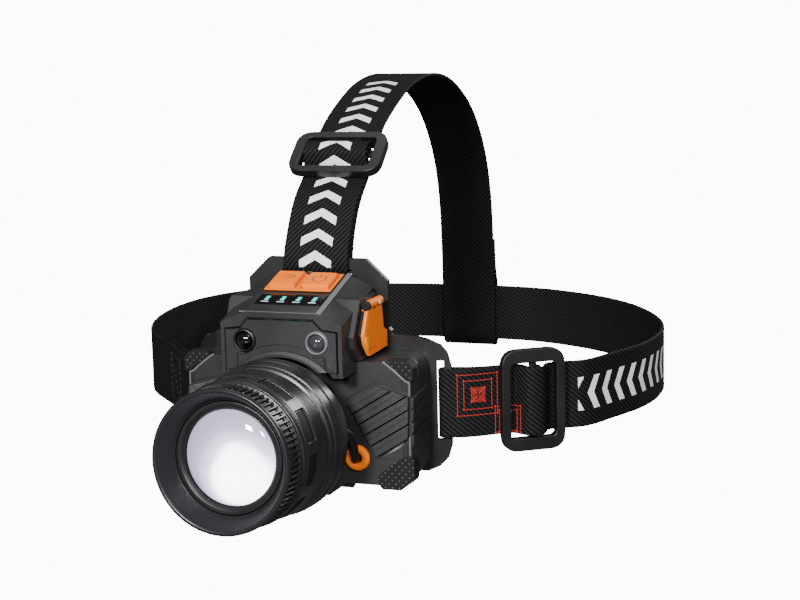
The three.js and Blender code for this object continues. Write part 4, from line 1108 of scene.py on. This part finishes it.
# ---------------------------------------------------------------- straps
# Routes of the middle layer. At a slider or an ear, a point is (along the strap, out from it); the
# headband's others are (X, Y) and the top strap's are (Y, Z).
EAR_ANGLE = math.radians(13)
EAR_PLACE = (41, -8)
RUNNING = [(-12.4, -2.8), (-9, -2.95), (-6.1, -2.1), (-4.2, 1.3), (-2.3, 3.6), (0, 4.1), (2.3, 3.6),
           (4.2, 1.3), (6.1, -2.1), (9, -2.95), (12.4, -2.8)]
SEWN = [(-12.4, -4.9), (-9, -5.05), (-5, -4.6), (-2.9, -2.6), (-2.45, 0), (-1.75, 1.75), (0, 2.1),
        (1.75, 1.75), (2.45, 0.2), (1.9, -1.75), (0.6, -2.1)]
EAR_LOOP = [(13, -0.9), (9.4, -1.1), (6.5, -1.25), (4.95, -0.5), (4.65, 1.25), (4.95, 3), (6.5, 3.7),
            (9.8, 3.7)]
BAND_LEFT_END = [(-77, 24.5), (-69, 16), (-61, 5.2), (-55.5, 0.4)]
BAND_LEFT = [(-57.6, -1.4), (-64, 5.6), (-71.2, 15), (-79.2, 23.6), (-91, 37), (-100.4, 55),
             (-106.6, 75), (-109.6, 98), (-107.5, 120), (-99, 139), (-84, 155), (-60, 168), (-31, 175)]
BAND_RIGHT = [(0, 177), (31, 174.6), (58, 163), (79, 146), (95, 123), (104.5, 100), (107.6, 78),
              (105.4, 56), (98.5, 36.5), (91.5, 20.8)]
TOP_REAR = [(3.6, 68.6), (-1.6, 59.5), (-3.9, 52.5), (-4.25, 48.7), (-4.8, 46.6)]
TOP_FRONT = [(-6.75, 45.9), (-8.7, 46.6), (-9.25, 48.7), (-8.7, 53), (-4.6, 61.5), (1.6, 70.6)]
TOP_ARCH = [(34, 96.9), (49, 104), (67, 110), (89, 112.6), (110, 110.6), (130, 103.6), (146, 94),
            (158, 82), (166, 69), (171, 53), (173, 36), (173.8, 14)]
TOP_LOOP = [(174, 0), (174.2, -12.2), (176.6, -14.6), (179, -12.2), (179, 0), (178.9, 13.6),
            (176.4, 22), (175.6, 34)]


def at_slider(slider, point):
    """A point of a slider's own route, in the strap's plane."""
    along, out = point
    cos, sin = math.cos(slider["turn"]), math.sin(slider["turn"])
    up = out * slider["side"]
    return (slider["at"][0] + along * cos - up * sin, slider["at"][1] + along * sin + up * cos)


def at_ear(point):
    """A point of the loop round the right ear, in the headband's plane."""
    along, behind = point
    cos, sin = math.cos(EAR_ANGLE), math.sin(EAR_ANGLE)
    return (EAR_PLACE[0] + along * cos - behind * sin, EAR_PLACE[1] + along * sin + behind * cos)


def band_route():
    """Headband: from its sewn left end round the left ear, the head, the slider and the right ear."""
    ear = [at_ear(p) for p in EAR_LOOP]
    left_ear = [(-x, y) for x, y in reversed(ear)]
    running = [at_slider(BAND_SLIDER, p) for p in reversed(RUNNING)]
    sewn = [at_slider(BAND_SLIDER, p) for p in SEWN]
    right_ear = [(59, -2.5)] + ear + [(56.7, -0.4)]
    return BAND_LEFT_END + left_ear + BAND_LEFT + BAND_RIGHT + running + right_ear + sewn


def top_route():
    """Top strap: from its sewn end through the top ear, the slider and round the headband behind."""
    sewn = [at_slider(TOP_SLIDER, p) for p in reversed(SEWN)]
    running = [at_slider(TOP_SLIDER, p) for p in RUNNING]
    return sewn + TOP_REAR + TOP_FRONT + running + TOP_ARCH + TOP_LOOP


def smooth_line(points, steps):
    """Centripetal Catmull-Rom line through the points."""
    ends = [points[0] * 2 - points[1]] + points + [points[-1] * 2 - points[-2]]
    made = []
    for a, b, c, d in zip(ends, ends[1:], ends[2:], ends[3:]):
        first, second, third = [max((q - p).length ** 0.5, 1e-4) for p, q in ((a, b), (b, c), (c, d))]
        start = ((b - a) / first - (c - a) / (first + second) + (c - b) / second) * second
        end = ((c - b) / second - (d - b) / (second + third) + (d - c) / third) * second
        for k in range(steps):
            t = k / steps
            made.append(b + start * t + (c * 3 - b * 3 - start * 2 - end) * t ** 2
                        + (b * 2 - c * 2 + start + end) * t ** 3)
    return made + [points[-1]]


def even(line, spacing):
    """The line again, with points an equal distance apart."""
    marks = [0.0]
    for one, two in zip(line, line[1:]):
        marks.append(marks[-1] + (two - one).length)
    count = round(marks[-1] / spacing)
    made, i = [], 0
    for k in range(count + 1):
        at = marks[-1] * k / count
        while i < len(marks) - 2 and marks[i + 1] < at:
            i += 1
        share = (at - marks[i]) / max(marks[i + 1] - marks[i], 1e-9)
        made.append(line[i].lerp(line[i + 1], min(max(share, 0), 1)))
    return made, marks[-1]


class Strap:
    """Webbing along a flat route. place() turns a route point and a height across into 3D."""

    def __init__(self, route, place):
        self.place = place
        self.line, self.length = even(smooth_line([Vector(p) for p in route], 24), 0.9)
        self.step = self.length / (len(self.line) - 1)
        self.side = []
        for i in range(len(self.line)):
            along = self.line[min(i + 1, len(self.line) - 1)] - self.line[max(i - 1, 0)]
            self.side.append(Vector((-along.y, along.x)).normalized())

    def at(self, along, across, out):
        """Point at a length along the strap, across its middle line and out from its middle layer."""
        i = min(max(along / self.step, 0), len(self.line) - 1.001)
        low, share = int(i), i - int(i)
        spot = self.line[low].lerp(self.line[low + 1], share)
        side = self.side[low].lerp(self.side[low + 1], share).normalized()
        point = spot + side * out
        return self.place(point.x, point.y, across)

    def mesh(self, name):
        """The woven band: rounded selvedges, a slightly hollow middle, and a UV map in metres."""
        half = sizes().webbing_width / MM / 2
        thick = sizes().webbing_thickness / MM / 2
        top = [(-half, 0.0), (-half + 0.12, 0.6), (-half + 0.5, 0.95), (-half + 1.3, 1.0),
               (-half + 1.8, 0.86), (-half + 5, 0.9), (0.0, 0.9)]
        top += [(-a, b) for a, b in reversed(top[:-1])]
        section = [(a, b * thick, 0.0) for a, b in top]
        section += [(a, -b * thick, BACK_SHIFT) for a, b in reversed(top[1:-1])]
        bm = bmesh.new()
        uv = bm.loops.layers.uv.new("Weave")
        rings = []
        for i in range(len(self.line)):
            rings.append([bm.verts.new(self.place(*(self.line[i] + self.side[i] * out).to_tuple(), across))
                          for across, out, _ in section])
        count = len(section)
        for i in range(len(rings) - 1):
            for k in range(count):
                n = (k + 1) % count
                face = bm.faces.new((rings[i][k], rings[i][n], rings[i + 1][n], rings[i + 1][k]))
                lift = section[k][2] if k != len(top) - 1 else BACK_SHIFT
                for loop, (row, column) in zip(face.loops, ((i, k), (i, n), (i + 1, n), (i + 1, k))):
                    loop[uv].uv = (section[column][0] * MM + lift, row * self.step * MM)
        for ring, row in ((rings[0], 0), (rings[-1], len(rings) - 1)):
            cap = bm.faces.new(ring)
            for loop, (across, out, _) in zip(cap.loops, section):
                loop[uv].uv = (across * MM + BACK_SHIFT, row * self.step * MM + out * MM)
        return from_bmesh(name, bm)


def stitch_lines(strap, runs, steps, out):
    """Straight runs of thread laid on the strap, each between two (along, across) places."""
    return [[strap.at(s0 + (s1 - s0) * k / steps, u0 + (u1 - u0) * k / steps, out)
             for k in range(steps + 1)] for (s0, u0), (s1, u1) in runs]


def box_stitches(strap, start, end, half, out):
    """Lines of a sewn box with a cross."""
    corners = [(start, -half), (end, -half), (end, half), (start, half), (start, -half)]
    runs = list(zip(corners, corners[1:]))
    runs += [((start, -half), (end, half)), ((start, half), (end, -half))]
    return stitch_lines(strap, runs, 12, out)


# Nested squares sewn beside the front slider: place along, place across and the half sizes. They
# stop at the webbing's selvedge.
MARKER_SQUARES = ((601.5, 3.0, (7.4, 5.2, 2.5, 2.0, 1.5, 1.0, 0.5)), (589.5, -7.5, (5.5, 3.8)))
SELVEDGE = 11.6


def square_stitches(strap, along, across, half, out):
    """Lines of a sewn square that stays on the webbing."""
    corners = [(along + a * half, min(max(across + b * half, -SELVEDGE), SELVEDGE)) for a, b in
               ((-1, -1), (1, -1), (1, 1), (-1, 1), (-1, -1))]
    return stitch_lines(strap, zip(corners, corners[1:]), 8, out)


# Each strap: piece, node, the places in metres between which it is printed, and what it rests on.
STRAPS = (("harness_band", "headband", 0.464, 0.5565, ["back_plate", "headband_slider"]),
          ("harness_top", "top_strap", 0.063, 0.175, ["back_plate", "top_strap_slider"]))


def build_straps():
    """Both straps, their seams and the coloured marker stitches."""
    band = Strap(band_route(), lambda a, b, across: Vector((a, b, across)))
    top = Strap(top_route(), lambda a, b, across: Vector((across, a, b)))
    for strap, (name, node, start, end, rests_on) in zip((band, top), STRAPS):
        piece = strap.mesh(name)
        finish(piece, name, "bracket", None, [node], smooth=50)
        piece.data.materials.clear()
        piece.data.materials.append(webbing_material(name + "_webbing", start, end))
    skin = sizes().webbing_thickness / MM / 2 * 0.95
    spacing = sizes().stitch_length / MM
    marker = []
    for along, across, halves in MARKER_SQUARES:
        for half in halves:
            marker += square_stitches(band, along, across, half, skin)
    plain = box_stitches(band, 68.0, 84.0, 8.5, skin)
    plain += box_stitches(top, 398.0, 412.0, 8.5, -skin)
    plain += box_stitches(top, 24.0, 36.0, 8.5, skin)
    jobs = (("marker_stitches", marker, "marker_thread", 1.2, 1.3, 0.42),
            ("seam_stitches", plain, "black_thread", spacing, spacing * 0.78, 0.55))
    for name, lines, thread, gap, length, thick in jobs:
        made = repeat(lines_object(lines), "stitches", Spacing=gap, Length=length, Thickness=thick,
                      Material=thread)
        finish(made, name, "bracket", thread)


# ---------------------------------------------------------------- inner parts
# Parts that show little or nothing keep their CAD shape, and only get a finish.
INNER = {
    "plated_steel": ("hinge_pin", "cover_pin", "cover_screw_1", "cover_screw_2", "cover_screw_3",
                     "cover_screw_4", "cell_contact_left", "cell_contact_right", "usb_socket"),
    "rubber": ("housing_seal",),
    "cell_sleeve": ("cell_upper", "cell_lower"),
    "circuit_board": ("charge_board", "control_board", "led_board"),
    "plate_abs": ("tact_switch_sensor", "tact_switch_power"),
    "light_cyan": ("indicator_light_1", "indicator_light_2", "indicator_light_3", "indicator_light_4"),
    "anodised_aluminium": ("inner_tube", "lens_carrier"),
    "led_phosphor": ("led_emitter",),
    "clear_dome": ("led_dome",),
}


def paint_inner_parts():
    for material, nodes in INNER.items():
        for node in nodes:
            mesh = NODES[node].data
            mesh.materials.clear()
            mesh.materials.append(FINISHES[material])


# ---------------------------------------------------------------- stage, in metres
CAMERA_PLACE = ((0.9423, -0.0334, 0.333, 0.2417135), (0.3339, 0.1642, -0.9282, -0.593721),
                (-0.0237, 0.9859, 0.1659, 0.1417655), (0, 0, 0, 1))
COVE_Y, COVE_RADIUS, WALL_TOP = 1.2, 0.8, 3.2

# Each light: name, place, width and power in watts. All of them look at the lamp's middle.
LIGHTS = (("key_left", (0.02, -0.92, 0.42), 0.14, 13.0), ("key_right", (0.45, -0.82, 0.45), 0.14, 8.0),
          ("streak", (0.7, -0.2, 0.85), 0.22, 1.5), ("top", (-0.15, 0.25, 1.0), 0.4, 2.0),
          ("rim", (0.42, 1.15, 0.5), 0.3, 5.0))
LIGHT_TARGET = Vector((0, 0.02, 0.03))


def build_camera():
    """The camera, in front of the lamp and to the right of its middle."""
    camera = new_object("camera", bpy.data.cameras.new("camera"))
    camera.matrix_world = Matrix(CAMERA_PLACE)
    camera.data.sensor_width = 36
    camera.data.lens = 79.616
    camera.data.clip_start, camera.data.clip_end = 0.01, 20
    bpy.context.scene.camera = camera


def build_studio():
    """A floor that curves up into a wall, the world and the lights."""
    bm = bmesh.new()
    profile = [(-3.0, 0.0), (COVE_Y, 0.0)]
    profile += [(COVE_Y + COVE_RADIUS * math.sin(a), COVE_RADIUS - COVE_RADIUS * math.cos(a))
                for a in [k * math.pi / 24 for k in range(1, 13)]]
    profile += [(COVE_Y + COVE_RADIUS, WALL_TOP)]
    rows = [[bm.verts.new((x, y, z + FLOOR_Z * MM)) for x in (-5.0, 5.0)] for y, z in profile]
    for one, two in zip(rows, rows[1:]):
        bm.faces.new((one[0], one[1], two[1], two[0]))
    floor = from_bmesh("studio_floor", bm, outward=False)
    floor.data.materials.append(FINISHES["studio_paint"])
    floor.data.shade_smooth()
    world = bpy.data.worlds.new("studio")
    bpy.context.scene.world = world
    world.use_nodes = True
    sky = world.node_tree.nodes["Background"]
    sky.inputs[0].default_value = (1, 1, 1, 1)
    world.node_tree.links.new(by_ray(world.node_tree, 12.0, 0.1), sky.inputs[1])
    for name, place, width, power in LIGHTS:
        lamp = bpy.data.lights.new(name, "AREA")
        lamp.shape, lamp.size, lamp.energy = "SQUARE", width, power
        light = new_object(name, lamp)
        light.location = place
        light.rotation_euler = (LIGHT_TARGET - Vector(place)).to_track_quat("-Z", "Y").to_euler()


# ---------------------------------------------------------------- add-on
class HEADLAMP_OT_stage(bpy.types.Operator):
    """Makes the finishes, and adds the camera, the studio floor and the lights"""
    bl_idname = "headlamp.stage"
    bl_label = "Stage"

    def execute(self, context):
        build_camera()
        FINISHES.update(make_materials())
        TREES.update(ring=ring_tree(), row=row_tree(), stitches=stitch_tree(), dots=dot_tree())
        build_studio()
        return {"FINISHED"}


class HEADLAMP_OT_housing(bpy.types.Operator):
    """Builds the battery housing shells with their ribs and painted highlights on the chamfers"""
    bl_idname = "headlamp.housing"
    bl_label = "Battery Housing"

    def execute(self, context):
        build_housing()
        return {"FINISHED"}


class HEADLAMP_OT_corner_pads(bpy.types.Operator):
    """Builds the four dotted corner pads"""
    bl_idname = "headlamp.corner_pads"
    bl_label = "Corner Pads"

    def execute(self, context):
        build_corner_pads()
        return {"FINISHED"}


class HEADLAMP_OT_hood(bpy.types.Operator):
    """Builds the hood, the face panel and its two eyes"""
    bl_idname = "headlamp.hood"
    bl_label = "Hood and Face"

    def execute(self, context):
        build_hood()
        build_eyes()
        return {"FINISHED"}


class HEADLAMP_OT_controls(bpy.types.Operator):
    """Builds the two keys with their surround, and the charge indicator"""
    bl_idname = "headlamp.controls"
    bl_label = "Top Controls"

    def execute(self, context):
        build_controls()
        return {"FINISHED"}


class HEADLAMP_OT_covers(bpy.types.Operator):
    """Builds the port door and the trim on the other side"""
    bl_idname = "headlamp.covers"
    bl_label = "Side Covers"

    def execute(self, context):
        build_covers()
        return {"FINISHED"}


class HEADLAMP_OT_light_head(bpy.types.Operator):
    """Builds the barrel, the focusing grip, the bezel and the lens"""
    bl_idname = "headlamp.light_head"
    bl_label = "Light Head"

    def execute(self, context):
        build_barrel()
        build_focus_head()
        build_optics()
        return {"FINISHED"}


class HEADLAMP_OT_cable(bpy.types.Operator):
    """Builds the short cable and its orange ring"""
    bl_idname = "headlamp.cable"
    bl_label = "Cable"

    def execute(self, context):
        build_cable()
        return {"FINISHED"}


class HEADLAMP_OT_bracket(bpy.types.Operator):
    """Builds the back plate, the sliders and the forehead pad"""
    bl_idname = "headlamp.bracket"
    bl_label = "Back Plate and Pad"

    def execute(self, context):
        build_bracket()
        build_pad()
        return {"FINISHED"}


class HEADLAMP_OT_straps(bpy.types.Operator):
    """Builds the headband and the top strap with their stitching"""
    bl_idname = "headlamp.straps"
    bl_label = "Straps"

    def execute(self, context):
        build_straps()
        return {"FINISHED"}


class HEADLAMP_OT_inner_parts(bpy.types.Operator):
    """Paints the inner parts that keep their CAD shape"""
    bl_idname = "headlamp.inner_parts"
    bl_label = "Inner Parts"

    def execute(self, context):
        paint_inner_parts()
        return {"FINISHED"}


OPERATORS = (HEADLAMP_OT_stage, HEADLAMP_OT_housing, HEADLAMP_OT_corner_pads, HEADLAMP_OT_hood,
             HEADLAMP_OT_controls, HEADLAMP_OT_covers, HEADLAMP_OT_light_head, HEADLAMP_OT_cable,
             HEADLAMP_OT_bracket, HEADLAMP_OT_straps, HEADLAMP_OT_inner_parts)


class HEADLAMP_PT_pieces(bpy.types.Panel):
    """Lists the pieces of the headlamp"""
    bl_label = "Headlamp"
    bl_idname = "HEADLAMP_PT_pieces"
    bl_space_type = "VIEW_3D"
    bl_region_type = "UI"
    bl_category = "Headlamp"

    def draw(self, context):
        for group in (context.scene.headlamp_sizes, context.scene.headlamp_colours):
            for name in group.bl_rna.properties.keys():
                if name not in ("rna_type", "name"):
                    self.layout.prop(group, name)
        for one in OPERATORS:
            self.layout.operator(one.bl_idname)


CLASSES = (HeadlampSizes, HeadlampColours, *OPERATORS, HEADLAMP_PT_pieces)


def register():
    for one in CLASSES:
        bpy.utils.register_class(one)
    bpy.types.Scene.headlamp_sizes = PointerProperty(type=HeadlampSizes)
    bpy.types.Scene.headlamp_colours = PointerProperty(type=HeadlampColours)


def unregister():
    del bpy.types.Scene.headlamp_sizes
    del bpy.types.Scene.headlamp_colours
    for one in reversed(CLASSES):
        bpy.utils.unregister_class(one)


def main():
    register()
    for one in OPERATORS:
        group, name = one.bl_idname.split(".")
        getattr(getattr(bpy.ops, group), name)()


if __name__ == "__main__":
    main()
